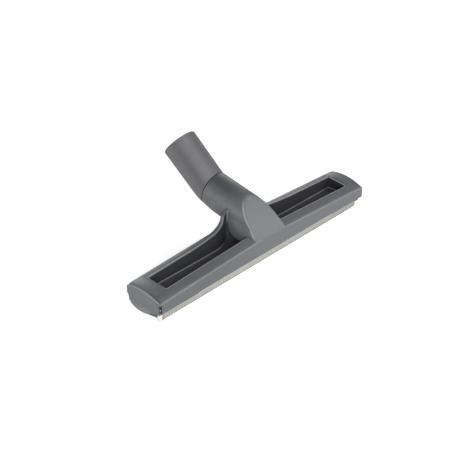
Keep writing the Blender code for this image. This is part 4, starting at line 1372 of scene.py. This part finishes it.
def dress(piece, paint, body, slot, *nodes):
    """Paints a piece, puts it in the frame and lets it stand for its CAD nodes."""
    paint.put_on(piece)
    piece.data.transform(Matrix.Translation(DRAWN_TO_FRAME))
    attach(piece, body)
    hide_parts(*nodes)


def studio_floor():
    """Pale floor that the camera sees as white except for the object's soft shadow."""
    low, high = -FLOOR_HALF, FLOOR_HALF
    corners = [(low, low, -FLOOR_DROP), (high, low, -FLOOR_DROP)]
    corners += [(high, high, -FLOOR_DROP), (low, high, -FLOOR_DROP)]
    floor = mesh_piece("studio_floor", corners, [(0, 1, 2, 3)])
    paint = Paint("pale_floor")
    paint.colour((0.80, 0.80, 0.80, 1.0))
    paint.roughness(0.9)
    paint.shader.inputs["Specular IOR Level"].default_value = 0.0
    matte = Wire(paint, paint.shader.outputs[0])
    glow = paint.node("ShaderNodeEmission", {}, {"Strength": FLOOR_GLOW})
    lit = paint.node("ShaderNodeAddShader", {}, (matte, glow))
    seen = paint.node("ShaderNodeLightPath", output="Is Camera Ray")
    surface = paint.node("ShaderNodeMixShader", {}, (seen, matte, lit))
    paint.feed(paint.tree.nodes["Material Output"].inputs["Surface"], surface)
    paint.put_on(floor)


def world_light():
    """Even soft light, and a pale backdrop that only the camera sees."""
    world = bpy.data.worlds.new("studio")
    bpy.context.scene.world = world
    world.use_nodes = True
    world.node_tree.nodes.clear()
    nodes = Nodes(world.node_tree)
    soft = nodes.node("ShaderNodeBackground", {}, ((0.95, 0.97, 1.0, 1.0), WORLD_LEVEL))
    pale = nodes.node("ShaderNodeBackground", {}, ((0.80, 0.80, 0.80, 1.0), 1.0))
    seen = nodes.node("ShaderNodeLightPath", output="Is Camera Ray")
    surface = nodes.node("ShaderNodeMixShader", {}, (seen, soft, pale))
    nodes.node("ShaderNodeOutputWorld", {}, {"Surface": surface})


def soft_lamp(name, towards, power):
    """A square soft lamp, placed out along a direction and facing the head."""
    lamp = bpy.data.lights.new(name, "AREA")
    lamp.shape = "SQUARE"
    lamp.size = LAMP_SIZE
    lamp.energy = power
    made = bpy.data.objects.new(name, lamp)
    bpy.context.scene.collection.objects.link(made)
    out = Vector(towards).normalized()
    made.location = LAMP_AIM + out * LAMP_DISTANCE
    made.rotation_euler = out.to_track_quat("Z", "Y").to_euler()


def camera():
    lens = bpy.data.cameras.new("camera")
    lens.lens = CAMERA_LENS
    lens.sensor_width = 36.0
    made = bpy.data.objects.new("camera", lens)
    bpy.context.scene.collection.objects.link(made)
    azimuth, elevation = CAMERA_AZIMUTH, CAMERA_ELEVATION
    across = Vector((math.cos(azimuth), math.sin(azimuth), 0.0))
    back = Vector((
        math.sin(azimuth) * math.cos(elevation), -math.cos(azimuth) * math.cos(elevation),
        math.sin(elevation)))
    turn = Matrix((across, back.cross(across), back)).transposed().to_4x4()
    made.matrix_world = Matrix.Translation(CAMERA_AT) @ turn
    bpy.context.scene.camera = made


def build():
    camera()
    dress(head_shell(), shell_plastic(), "head", "shell_plastic", "head_shell")
    dress(end_caps(), cap_plastic(), "head", "shell_plastic", "head_shell")
    dress(swivel_elbow(), tube_plastic(), "elbow", "tube_plastic", "swivel_elbow")
    dress(front_blade(), ribbed_rubber(), "head", "ivory_rubber", "front_blade")
    frame_plastic().put_on(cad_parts["bottom_frame"])
    plain_rubber().put_on(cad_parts["rear_blade"])
    seal_rubber().put_on(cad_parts["neck_seal"])
    ring_plastic().put_on(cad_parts["snap_ring"])
    steel = screw_steel()
    for number in range(1, 5):
        steel.put_on(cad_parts[f"frame_screw_{number}"])
    studio_floor()
    world_light()
    for name, towards, power in LAMPS:
        soft_lamp(name, towards, power)
    bpy.context.scene.view_settings.view_transform = "Standard"


build()
